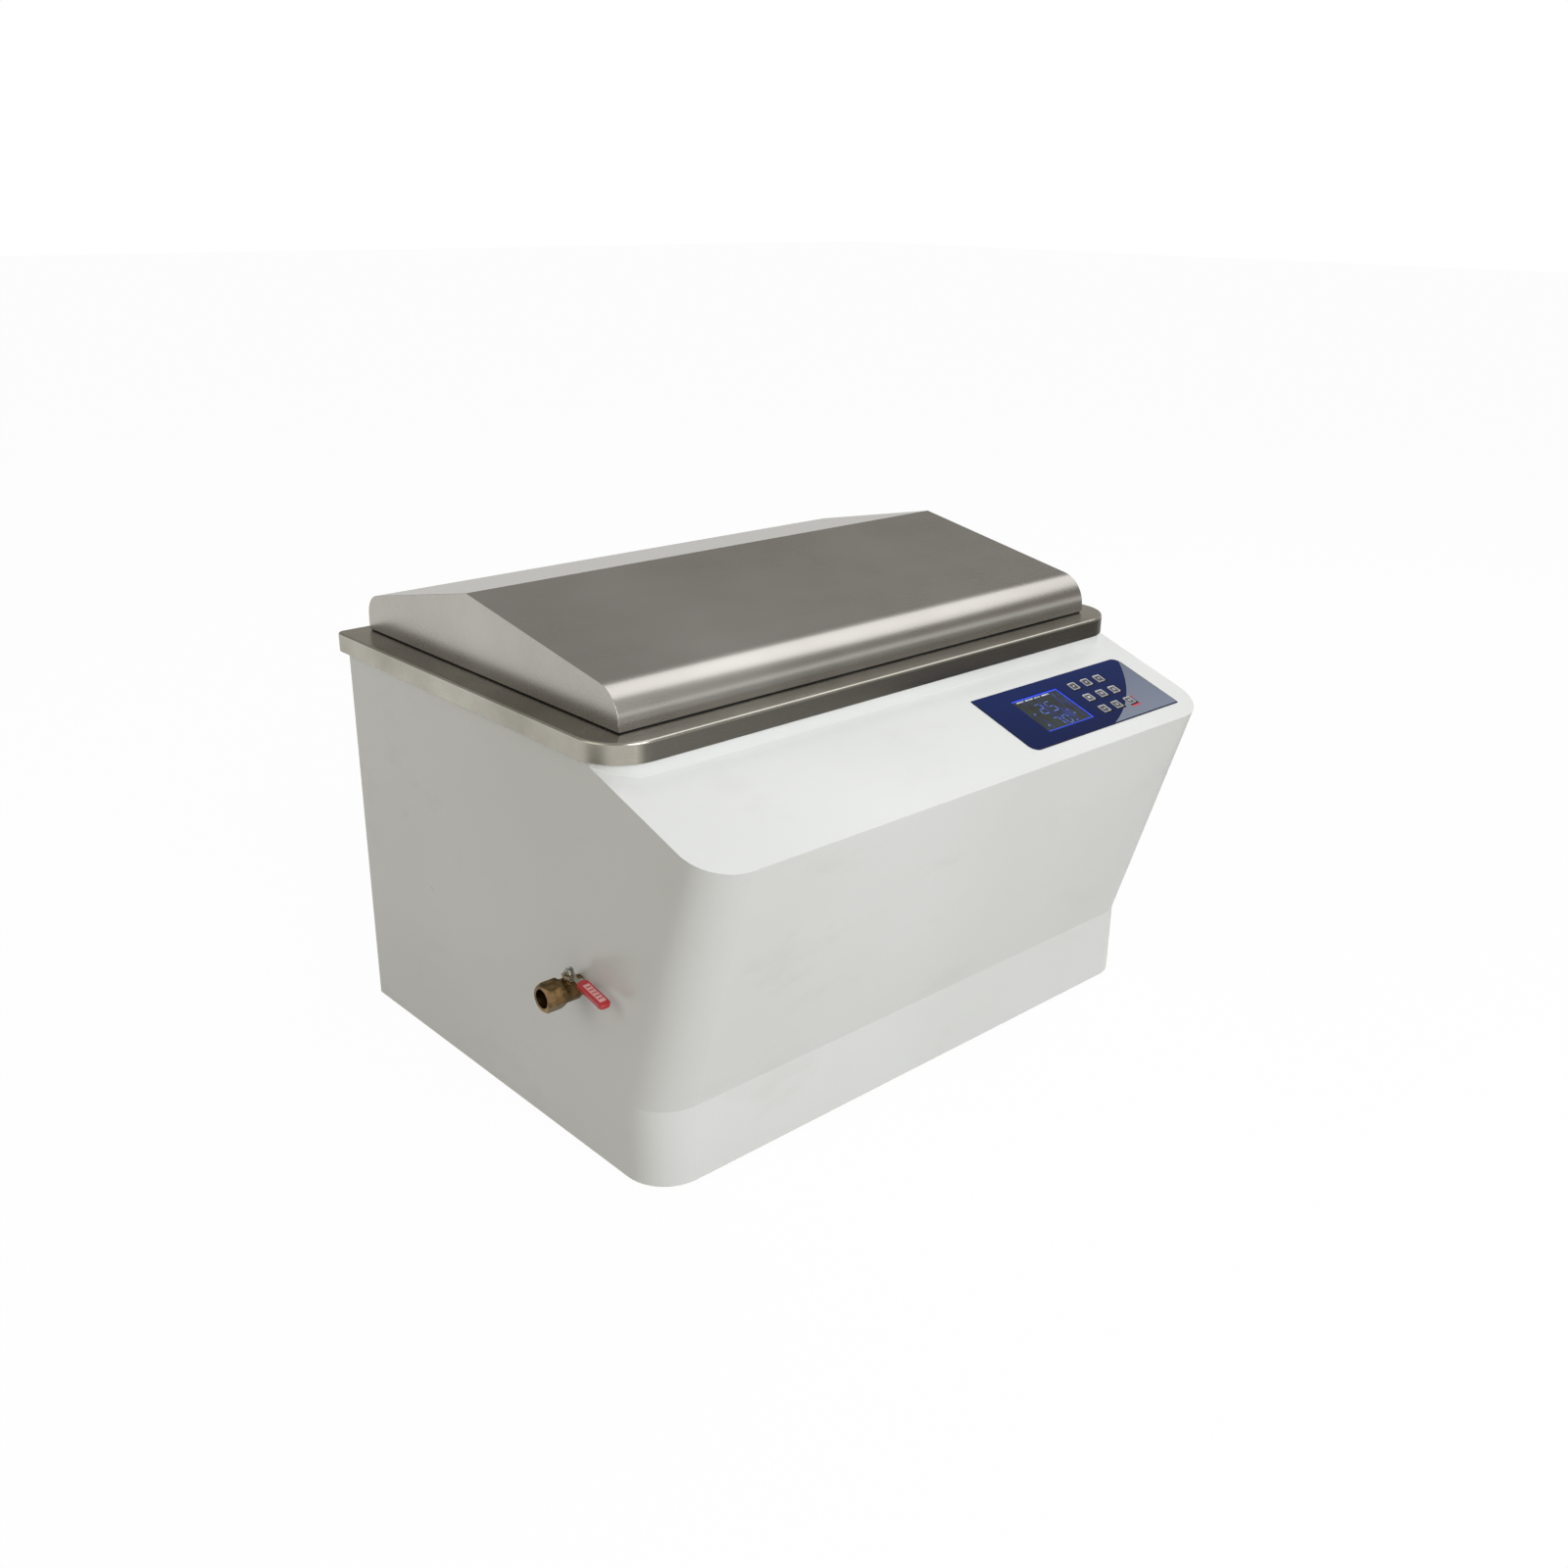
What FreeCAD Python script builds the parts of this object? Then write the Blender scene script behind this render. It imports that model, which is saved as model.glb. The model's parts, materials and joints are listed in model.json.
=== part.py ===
import FreeCAD, Part
import math
import os
import re
import Sketcher

# A shaking water bath: a painted steel cabinet with a sloping console, a stainless tank under a
# gabled lid, and below the tank an orbital drive that moves the flask tray through magnets.
# Millimetres. x = 0 is the mid-plane, the front faces -Y, z = 0 is the bench under the feet.

doc = FreeCAD.newDocument("ShakingWaterBath")
sizes = doc.addObject("Spreadsheet::Sheet", "Sizes")
places = doc.addObject("Spreadsheet::Sheet", "Places")

driving_sizes = {
    # cabinet
    "cabinet_width": 700,
    "cabinet_depth": 514,
    "cabinet_height": 420,
    "neck_setback": 54,
    "plinth_height": 80,
    "console_reach": 78,
    "console_drop": 79,
    "console_rise": 45,
    "corner_radius": 45,
    "shell_wall": 1.5,
    "shell_flange": 16,
    "shell_top_flange": 8,
    "base_thickness": 2,
    "panel_thickness": 1.2,
    "panel_margin": 6,
    "louvre_length": 90,
    "louvre_height": 5,
    "louvre_pitch": 16,
    # feet
    "foot_height": 4,
    "foot_radius": 15,
    "foot_flare": 1,
    "foot_inset": 60,
    "screw_radius": 2,
    "screw_head_radius": 4,
    "screw_head_height": 2,
    # rim and tank
    "rim_height": 20,
    "rim_wall": 1.2,
    "rim_overhang": 2.5,
    "rim_rear_overhang": 22,
    "rim_lip": 8,
    "rim_back_corner": 8,
    "tank_side_margin": 50,
    "tank_rear_margin": 25,
    "tank_depth": 220,
    "tank_wall": 1.2,
    "tank_front_margin": 35,
    "tank_corner_radius": 15,
    "tank_floor_radius": 8,
    "tank_flange": 14,
    "insulation_thickness": 18,
    "insulation_lift": 50,
    # lid and hinges
    "lid_side_margin": 21,
    "lid_front_margin": 26,
    "lid_rear_margin": 16,
    "lid_gap": 1.5,
    "lid_wall": 1.2,
    "lid_wall_height": 34.5,
    "ridge_height": 78,
    "ridge_from_front": 239,
    "lid_front_bend": 33,
    "lid_back_bend": 24,
    "ridge_bend": 3,
    "gasket_width": 5,
    "gasket_height": 5,
    "hinge_end_margin": 121,
    "hinge_width": 40,
    "hinge_middle_knuckle": 16,
    "hinge_leaf": 1.5,
    "hinge_rise": 6,
    "hinge_offset": 7,
    "knuckle_radius": 4,
    "hinge_pin_radius": 2,
    "hinge_web": 1,
    "hinge_leaf_drop": 3,
    # heater and probe
    "heater_radius": 5,
    "heater_lift": 20,
    "heater_side_margin": 22,
    "heater_margin": 28,
    "heater_bend": 25,
    "heater_post_radius": 3.5,
    "gland_radius": 11,
    "gland_length": 5,
    "terminal_length": 14,
    "probe_radius": 3,
    "probe_length": 18,
    "probe_lift": 34,
    "probe_collar_radius": 9,
    # drain and valve
    "drain_drop": 22.8,
    "valve_from_neck": 56,
    "valve_stem_reach": 15,
    "valve_open_reach": 43,
    "valve_across_flats": 25.5,
    "valve_hex_length": 20,
    "valve_face_step": 0.5,
    "valve_chamfer": 2.5,
    "valve_shoulder": 4,
    "valve_taper": 3,
    "valve_barrel_radius": 11.5,
    "valve_tail_radius": 10,
    "valve_tilt": 12,
    "valve_bore": 9.3,
    "valve_bore_depth": 12,
    "port_radius": 6,
    "ball_radius": 8.5,
    "stem_radius": 3,
    "stem_root": 1,
    "stem_proud": 1.5,
    "packing_radius": 6,
    "lever_rise": 14,
    "lever_thickness": 2,
    "lever_width": 9,
    "lever_crank": 5,
    "lever_length": 56,
    "lever_shoulder": 3,
    "lever_edge": 0.5,
    "lever_stop_depth": 2,
    "lever_stop_width": 6,
    "sleeve_wall": 1.8,
    "sleeve_length": 38,
    "valve_nut_flats": 9,
    "valve_nut_height": 4,
    "pipe_radius": 8,
    "pipe_bend": 12,
    "pipe_socket": 4,
    "drain_inset": 78,
    "grommet_radius": 9.5,
    "grommet_flange": 1,
    # orbital drive
    "orbit_radius": 10,
    "deck_side_inset": 40,
    "deck_end_inset": 50,
    "deck_thickness": 4,
    "deck_hole_side": 186,
    "deck_hole_radius": 30,
    "column_radius": 8,
    "column_inset": 20,
    "driven_pulley_radius": 80,
    "motor_pulley_radius": 20,
    "pulley_width": 18,
    "pulley_flange": 3,
    "pulley_flange_height": 3,
    "pulley_lift": 2,
    "pulley_window_radius": 15,
    "pulley_window_circle": 48,
    "belt_thickness": 3,
    "crank_journal_radius": 10,
    "crank_housing_length": 28,
    "crank_web_radius": 30,
    "crank_web_thickness": 8,
    "crank_pin_radius": 8,
    "crank_top_gap": 10,
    "bearing_wall": 6,
    "bearing_height": 12,
    "housing_wall": 5,
    "housing_flange": 12,
    "housing_floor": 2,
    "idler_foot_height": 3,
    "shaft_clearance": 2,
    "bore_clearance": 1,
    "idler_journal_radius": 6,
    "idler_web_radius": 22,
    "idler_web_thickness": 6,
    "idler_pin_radius": 6,
    "idler_side_inset": 70,
    "idler_front_inset": 55,
    "idler_rear_side": 90,
    "idler_rear_inset": 40,
    "motor_side_inset": 110,
    "motor_end_inset": 80,
    "motor_radius": 40,
    "motor_length": 60,
    "motor_edge": 4,
    "motor_flange": 6,
    "motor_flange_height": 8,
    "motor_tail": 2,
    "motor_shaft_radius": 6,
    "motor_plate": 110,
    "motor_plate_thickness": 5,
    "carrier_side_inset": 30,
    "carrier_end_inset": 15,
    "carrier_thickness": 6,
    "carrier_corner": 20,
    "carrier_boss_height": 12,
    "carrier_window_side": 72,
    "carrier_window_radius": 30,
    "magnet_radius": 20,
    "magnet_height": 22,
    "magnet_gap": 2.8,
    "magnet_side_inset": 110,
    "magnet_end_inset": 45,
    # tray and clips
    "tray_side_gap": 3,
    "tray_end_gap": 12,
    "tray_lift": 18,
    "tray_sheet": 1.5,
    "tray_edge": 18,
    "tray_corner": 15,
    "tray_hole_radius": 12,
    "tray_hole_inset": 30,
    "glide_radius": 10,
    "glide_inset": 26,
    "clip_side_inset": 29.5,
    "clip_end_inset": 30,
    "clip_radius": 43,
    "clip_waist": 37,
    "clip_shoulder": 16,
    "clip_height": 38,
    "clip_sheet": 1,
    "clip_finger": 14,
    "clip_foot": 7,
    "clip_foot_height": 6,
    "clip_nut_height": 3,
    "clip_screw_tail": 2,
    "garter_height": 30,
    "garter_radius": 1.2,
    # control panel, measured along the console from its front edge
    "overlay_margin": 30.5,
    "overlay_width": 240,
    "overlay_low": 22,
    "overlay_high": 113,
    "overlay_corner": 10,
    "overlay_thickness": 1,
    "display_margin": 42.5,
    "display_width": 74,
    "display_low": 40,
    "display_high": 96,
    "display_recess": 0.6,
    "display_frame": 5,
    "display_depth": 8,
    "key_margin": 140,
    "key_pitch": 21.6,
    "key_low": 46.5,
    "key_row_pitch": 22,
    "key_size": 11.4,
    "key_corner": 1.2,
    "key_flange": 1.2,
    "key_flange_height": 0.8,
    "key_travel": 0.5,
    "key_rise": 0.6,
    "board_drop": 3.4,
    "board_thickness": 1.6,
    "board_margin": 5,
    "board_post_inset": 3,
    "tact_switch_size": 6,
    "tact_switch_slack": 0.2,
    # power board
    "power_board_length": 150,
    "power_board_width": 90,
    "power_board_side": 160,
    "power_board_front": 40,
    "standoff_height": 8,
    "standoff_radius": 3,
    "standoff_inset": 6,
    "power_edge": 15,
    "transformer_length": 45,
    "transformer_width": 40,
    "transformer_height": 34,
    "heat_sink_length": 50,
    "heat_sink_width": 25,
    "heat_sink_height": 26,
    "terminal_row_length": 65,
    "terminal_row_width": 10,
    "terminal_row_height": 12,
    # mains inlet and switch
    "inlet_margin": 100,
    "inlet_height": 60,
    "inlet_width": 27,
    "inlet_tall": 20,
    "inlet_depth": 24,
    "inlet_flange": 3,
    "inlet_proud": 2,
    "inlet_wall": 1.6,
    "inlet_chamfer": 4,
    "blade_radius": 1.6,
    "blade_pitch": 7,
    "blade_step": 2,
    "blade_inset": 3,
    "switch_gap": 50,
    "switch_width": 14,
    "switch_tall": 22,
    "switch_wall": 1,
    "rocker_tilt": 10,
    "rocker_width": 10,
    "rocker_half": 8,
    "rocker_sink": 3,
    "rocker_depth": 5,
    "rocker_foot": 2.5,
    "rocker_edge": 1,
    "rocker_rise": 6,
    "rocker_hollow": 1.5,
    # clearances, and how far a cutting form runs past a face
    "close_fit": 0.05,
    "small_gap": 0.3,
    "overcut": 1,
}

# places that follow from the sizes
worked_out = {
    "half_width": "cabinet_width / 2",
    "shell_bottom": "foot_height",
    "shell_front": "-cabinet_depth / 2",
    "shell_back": "cabinet_depth / 2",
    "rim_top": "foot_height + cabinet_height",
    "shell_top": "foot_height + cabinet_height - rim_wall",
    "rim_bottom": "foot_height + cabinet_height - rim_height",
    "plinth_top": "foot_height + plinth_height",
    "neck_face": "shell_front + neck_setback",
    "console_front": "shell_front - console_reach",
    "console_edge": "rim_top - console_drop",
    "console_slope": "console_rise / (neck_setback + console_reach)",
    "console_angle": "atan(console_slope)",
    "front_lean": "console_reach / (console_edge - plinth_top)",
    "base_top": "shell_bottom + shell_wall + base_thickness",
    "rim_front": "neck_face - rim_overhang",
    "rim_back": "shell_back + rim_rear_overhang",
    "rim_side": "half_width + rim_overhang",
    "tank_front": "neck_face + tank_front_margin",
    "tank_back": "shell_back - tank_rear_margin",
    "tank_middle": "(tank_front + tank_back) / 2",
    "tank_end": "(tank_back - tank_front) / 2",
    "tank_side": "half_width - tank_side_margin",
    "tank_floor": "rim_top - tank_depth",
    "tank_underside": "tank_floor - tank_wall",
    "lid_front": "neck_face + lid_front_margin",
    "lid_back": "rim_back - lid_rear_margin",
    "lid_bottom": "rim_top + lid_gap",
    "lid_wall_top": "lid_bottom + lid_wall_height",
    "ridge_back": "lid_front + ridge_from_front",
    "ridge_top": "rim_top + ridge_height",
    "lid_side": "tank_side + lid_side_margin",
    "hinge_side": "lid_side - hinge_end_margin",
    "hinge_back": "lid_back + hinge_offset",
    "hinge_top": "rim_top + hinge_rise",
    "heater_level": "tank_floor + heater_lift",
    "heater_side": "tank_side - heater_side_margin",
    "heater_reach": "tank_end - heater_margin",
    "probe_level": "tank_floor + probe_lift",
    "valve_axis": "neck_face + valve_from_neck",
    "valve_height": "tank_underside - drain_drop",
    "stem_side": "-half_width - valve_stem_reach",
    "drain_side": "-half_width + drain_inset",
    "tray_side": "heater_side - heater_radius - orbit_radius - tray_side_gap",
    "tray_end": "heater_reach - heater_radius - orbit_radius - tray_end_gap",
    "tray_bottom": "tank_floor + tray_lift",
    "tray_top": "tray_bottom + tray_sheet",
    "clip_pitch": "(tray_side - clip_radius - clip_side_inset) / 1.5",
    "clip_row": "tray_end - clip_radius - clip_end_inset",
    "carrier_side": "tray_side - carrier_side_inset",
    "carrier_end": "tray_end - carrier_end_inset",
    "magnet_pitch": "carrier_side - magnet_side_inset",
    "magnet_row": "carrier_end - magnet_end_inset",
    "carrier_top": "tank_underside - magnet_gap - magnet_height",
    "carrier_lift": "carrier_top - carrier_thickness",
    "boss_bottom": "carrier_lift - carrier_boss_height",
    "web_top": "boss_bottom - crank_top_gap",
    "idler_web_bottom": "web_top - idler_web_thickness",
    "pulley_top": "web_top - crank_web_thickness",
    "pulley_bottom": "pulley_top - pulley_width",
    "belt_bottom": "pulley_bottom + pulley_flange_height + small_gap",
    "belt_top": "pulley_top - pulley_flange_height - small_gap",
    "deck_top": "pulley_bottom - pulley_lift",
    "deck_height": "deck_top - deck_thickness",
    "deck_side": "tank_side - deck_side_inset",
    "deck_end": "tank_end - deck_end_inset",
    "idler_side": "deck_side - idler_side_inset",
    "idler_front": "deck_end - idler_front_inset",
    "idler_rear": "deck_end - idler_rear_inset",
    "motor_side": "deck_side - motor_side_inset",
    "motor_y": "tank_middle + deck_end - motor_end_inset",
    "motor_top": "deck_height - motor_plate_thickness",
    "overlay_right": "half_width - overlay_margin",
    "overlay_left": "overlay_right - overlay_width",
    "display_left": "overlay_left + display_margin",
    "key_left": "overlay_left + key_margin",
    "inlet_side": "half_width - inlet_margin",
    "inlet_level": "foot_height + inlet_height",
    "panel_face": "shell_back + panel_thickness",
    "switch_side": "inlet_side - switch_gap",
    "louvre_low": "inlet_level + 4 * louvre_pitch",
}

for row, (name, amount) in enumerate(driving_sizes.items(), start=1):
    sizes.set(f"A{row}", name)
    sizes.set(f"B{row}", str(amount))
    sizes.setAlias(f"B{row}", name)


def linked(expression):
    """Points each size or place named in an expression at its spreadsheet cell."""
    def cell(match):
        word = match.group(0)
        if word in driving_sizes:
            return "Sizes." + word
        if word in worked_out:
            return "Places." + word
        return word
    return re.sub(r"\b[a-z]\w*", cell, str(expression))


doc.recompute()
for row, (name, expression) in enumerate(worked_out.items(), start=1):
    places.set(f"A{row}", name)
    places.set(f"B{row}", "=" + linked(expression))
    places.setAlias(f"B{row}", name)
    places.recompute()


working = doc.addObject("Spreadsheet::Sheet", "Working")


def number(expression):
    """The value of an expression now, for the first position of a sketch's points."""
    working.set("A1", "=" + linked(expression))
    working.recompute()
    value = working.get("A1")
    return float(getattr(value, "Value", value))


def bind(piece, **links):
    """Ties properties of a piece to expressions; x, y and z are its place."""
    for key, expression in links.items():
        path = "Placement.Base." + key if key in ("x", "y", "z") else key
        piece.setExpression(path, linked(expression))
    return piece


# Sketched, turned and simple solids

def outline(sketch, corners):
    """A closed line through the corners; a corner's third entry is its rounding radius."""
    count = len(corners)
    points = [FreeCAD.Vector(number(c[0]), number(c[1]), 0) for c in corners]
    line_start = list(points)
    line_end = list(points)
    arcs = {}
    for i, corner in enumerate(corners):
        if len(corner) < 3:
            continue
        radius = number(corner[2])
        back = (points[i - 1] - points[i]).normalize()
        ahead = (points[(i + 1) % count] - points[i]).normalize()
        half = back.getAngle(ahead) / 2
        centre = points[i] + (back + ahead).normalize() * (radius / math.sin(half))
        line_end[i] = points[i] + back * (radius / math.tan(half))
        line_start[i] = points[i] + ahead * (radius / math.tan(half))
        left_turn = back.cross(ahead).z < 0
        first, last = (line_end[i], line_start[i]) if left_turn else (line_start[i], line_end[i])
        circle = Part.Circle(centre, FreeCAD.Vector(0, 0, 1), radius)
        arcs[i] = (Part.ArcOfCircle(circle, circle.parameter(first), circle.parameter(last)), left_turn)
    for i in range(count):
        after = (i + 1) % count
        sketch.addGeometry(Part.LineSegment(line_start[i], line_end[after]), False)

    def fixed(kind, *args):
        name = f"{kind.lower()}{len(sketch.Constraints)}"
        place = sketch.addConstraint(Sketcher.Constraint(kind, *args[:-1], number(args[-1])))
        sketch.renameConstraint(place, name)
        sketch.setExpression("Constraints." + name, linked(args[-1]))

    for i, corner in enumerate(corners):
        before = (i - 1) % count
        if i in arcs:
            arc, left_turn = arcs[i]
            bend = sketch.addGeometry(arc, False)
            apex = sketch.addGeometry(Part.Point(points[i]), True)
            entry, leave = (1, 2) if left_turn else (2, 1)
            sketch.addConstraint(Sketcher.Constraint("Tangent", before, 2, bend, entry))
            sketch.addConstraint(Sketcher.Constraint("Tangent", i, 1, bend, leave))
            sketch.addConstraint(Sketcher.Constraint("PointOnObject", apex, 1, before))
            sketch.addConstraint(Sketcher.Constraint("PointOnObject", apex, 1, i))
            fixed("Radius", bend, corner[2])
            held = apex
        else:
            sketch.addConstraint(Sketcher.Constraint("Coincident", before, 2, i, 1))
            held = i
        fixed("DistanceX", -1, 1, held, 1, corner[0])
        fixed("DistanceY", -1, 1, held, 1, corner[1])


def sketched(body, name, plane, corners, level="0"):
    """A sketch of the outline on one of the body's own planes, lifted to a level."""
    support = [f for f in body.Origin.OriginFeatures if f.Role == plane + "_Plane"][0]
    sketch = body.newObject("Sketcher::SketchObject", name)
    sketch.AttachmentSupport = [(support, "")]
    sketch.MapMode = "FlatFace"
    sketch.setExpression("AttachmentOffset.Base.z", linked(level))
    outline(sketch, corners)
    return sketch


def prism(name, plane, corners, low, high):
    """A body padded from an outline: along z from XY, along x from YZ."""
    body = doc.addObject("PartDesign::Body", name)
    sketch = sketched(body, name + "_outline", plane, corners, low)
    pad = body.newObject("PartDesign::Pad", name + "_pad")
    pad.Profile = sketch
    bind(pad, Length=f"({high}) - ({low})")
    sketch.Visibility = False
    return body


def turned(name, corners, **place):
    """A body turned about the upright axis from (radius, height) corners."""
    body = doc.addObject("PartDesign::Body", name)
    sketch = sketched(body, name + "_profile", "XZ", corners)
    turn = body.newObject("PartDesign::Revolution", name + "_turn")
    turn.Profile = sketch
    turn.ReferenceAxis = (sketch, ["V_Axis"])
    turn.Angle = 360
    return bind(body, **place)


def block(name, x, y, z):
    """A box between two limits each way."""
    box = doc.addObject("Part::Box", name)
    return bind(box, Length=f"({x[1]}) - ({x[0]})", Width=f"({y[1]}) - ({y[0]})",
                Height=f"({z[1]}) - ({z[0]})", x=x[0], y=y[0], z=z[0])


along = {
    "x": FreeCAD.Rotation(FreeCAD.Vector(0, 1, 0), 90),
    "y": FreeCAD.Rotation(FreeCAD.Vector(1, 0, 0), -90),
    "z": FreeCAD.Rotation(),
}


def rod(name, radius, x="0", y="0", z="0", low="0", high="0", axis="z"):
    """A cylinder between two levels of its axis."""
    cylinder = doc.addObject("Part::Cylinder", name)
    cylinder.Placement = FreeCAD.Placement(FreeCAD.Vector(), along[axis])
    place = {"x": x, "y": y, "z": z}
    place[axis] = low
    return bind(cylinder, Radius=radius, Height=f"({high}) - ({low})", **place)


def fuse(name, *pieces):
    joined = doc.addObject("Part::MultiFuse", name)
    joined.Shapes = list(pieces)
    joined.Refine = True
    return joined


def cut(name, base, *tools):
    tool = tools[0]
    if len(tools) > 1:
        tool = doc.addObject("Part::Compound", name + "_tools")
        tool.Links = list(tools)
    rest = doc.addObject("Part::Cut", name)
    rest.Base = base
    rest.Tool = tool
    rest.Refine = True
    return rest


def common(name, first, second):
    shared = doc.addObject("Part::Common", name)
    shared.Base = first
    shared.Tool = second
    return shared


def group(name, pieces):
    """Separate solids that share one node."""
    together = doc.addObject("Part::Compound", name)
    together.Links = list(pieces)
    return together


def dressed(body, kind, name, size_name, chosen):
    """Adds a Fillet or Chamfer to the edges of a body that a test picks."""
    doc.recompute()
    base = body.Tip
    edges = [f"Edge{i}" for i, edge in enumerate(base.Shape.Edges, start=1) if chosen(edge)]
    feature = body.newObject("PartDesign::" + kind, name)
    feature.Base = (base, edges)
    bind(feature, **{"Radius" if kind == "Fillet" else "Size": size_name})
    body.Tip = feature
    return body


def at_level(level):
    """Picks the edges that lie in one horizontal plane."""
    height = number(level)
    return lambda edge: abs(edge.BoundBox.ZMin - height) < 0.001 and abs(edge.BoundBox.ZMax - height) < 0.001


def rounded_box(x, y, radius):
    """Corners of a rectangle, all rounded alike."""
    return [(x[0], y[0], radius), (x[1], y[0], radius), (x[1], y[1], radius), (x[0], y[1], radius)]


nodes = {}


def node(piece):
    """Keeps a finished piece as a node of its own file."""
    piece.Label = piece.Name
    nodes[piece.Name] = piece
    return piece


# Cabinet

def cabinet_section(side, front, back, radius):
    """The cabinet seen from above, with rounded front corners."""
    return [(f"-({side})", back), (f"-({side})", front, radius), (side, front, radius), (side, back)]


def cabinet_form(name, inset, bottom, top, back):
    """The closed outer form of the cabinet, or with an inset its inside."""
    side = f"half_width - {inset}"
    radius = f"corner_radius - {inset}"
    plinth_end = f"shell_front + {inset}"
    neck = prism(name + "_neck", "XY", cabinet_section(side, f"neck_face + {inset}", back, radius),
                 bottom, top)
    plinth = prism(name + "_plinth", "XY", cabinet_section(side, plinth_end, back, radius),
                   bottom, "plinth_top")
    lean = f"front_lean * (({top}) - plinth_top)"
    leaning = doc.addObject("PartDesign::Body", name + "_leaning")
    bulge_back = f"neck_face + corner_radius + {lean}"
    section = sketched(leaning, name + "_section", "XY",
                       cabinet_section(side, plinth_end, bulge_back, radius), "plinth_top")
    bulge = doc.addObject("Part::Extrusion", name + "_bulge")
    bulge.Base = section
    bulge.DirMode = "Custom"
    bulge.Solid = True
    bulge.setExpression("Dir.x", "0")
    bulge.setExpression("Dir.y", linked(f"-({lean})"))
    bulge.setExpression("Dir.z", linked(f"({top}) - plinth_top"))
    bind(bulge, LengthFwd=f"sqrt(({lean}) ^ 2 + (({top}) - plinth_top) ^ 2)")
    drop = f"{inset} / cos(console_angle)"
    plane_at = "console_edge - {0} + ({1} - console_front) * console_slope".format(drop, "{0}")
    ahead = "(console_front - corner_radius)"
    behind = "(shell_front + cabinet_depth)"
    above = prism(name + "_above", "YZ", [(ahead, plane_at.format(ahead)), (behind, plane_at.format(behind)),
                                          (behind, plane_at.format(behind) + " + cabinet_height"),
                                          (ahead, plane_at.format(ahead) + " + cabinet_height")],
                  "-cabinet_width", "cabinet_width")
    return fuse(name + "_form", neck, plinth, cut(name + "_console", bulge, above))


def tilted(piece, angle):
    """Turns a piece about its own x axis."""
    turn = FreeCAD.Rotation(FreeCAD.Vector(1, 0, 0), number(angle))
    piece.Placement = FreeCAD.Placement(FreeCAD.Vector(), turn)
    piece.setExpression("Placement.Rotation.Angle", linked(angle))
    return piece


def on_console(piece):
    """Lays a piece that is drawn flat onto the sloping console, its origin at the front edge."""
    return bind(tilted(piece, "console_angle"), y="console_front", z="console_edge")


def rear_screw_places():
    """Where the rear panel is screwed to the shell's flanges."""
    side = "(half_width - shell_wall - shell_flange / 2)"
    low = "shell_bottom + shell_wall + shell_flange / 2"
    high = "rim_bottom - panel_margin - shell_flange / 2"
    middle = f"(({low}) + ({high})) / 2"
    upright = [(f"{sign} * {side}", level) for sign in (-1, 1) for level in (low, middle, high)]
    return upright + [("-half_width / 3", low), ("half_width / 3", low)]


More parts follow.
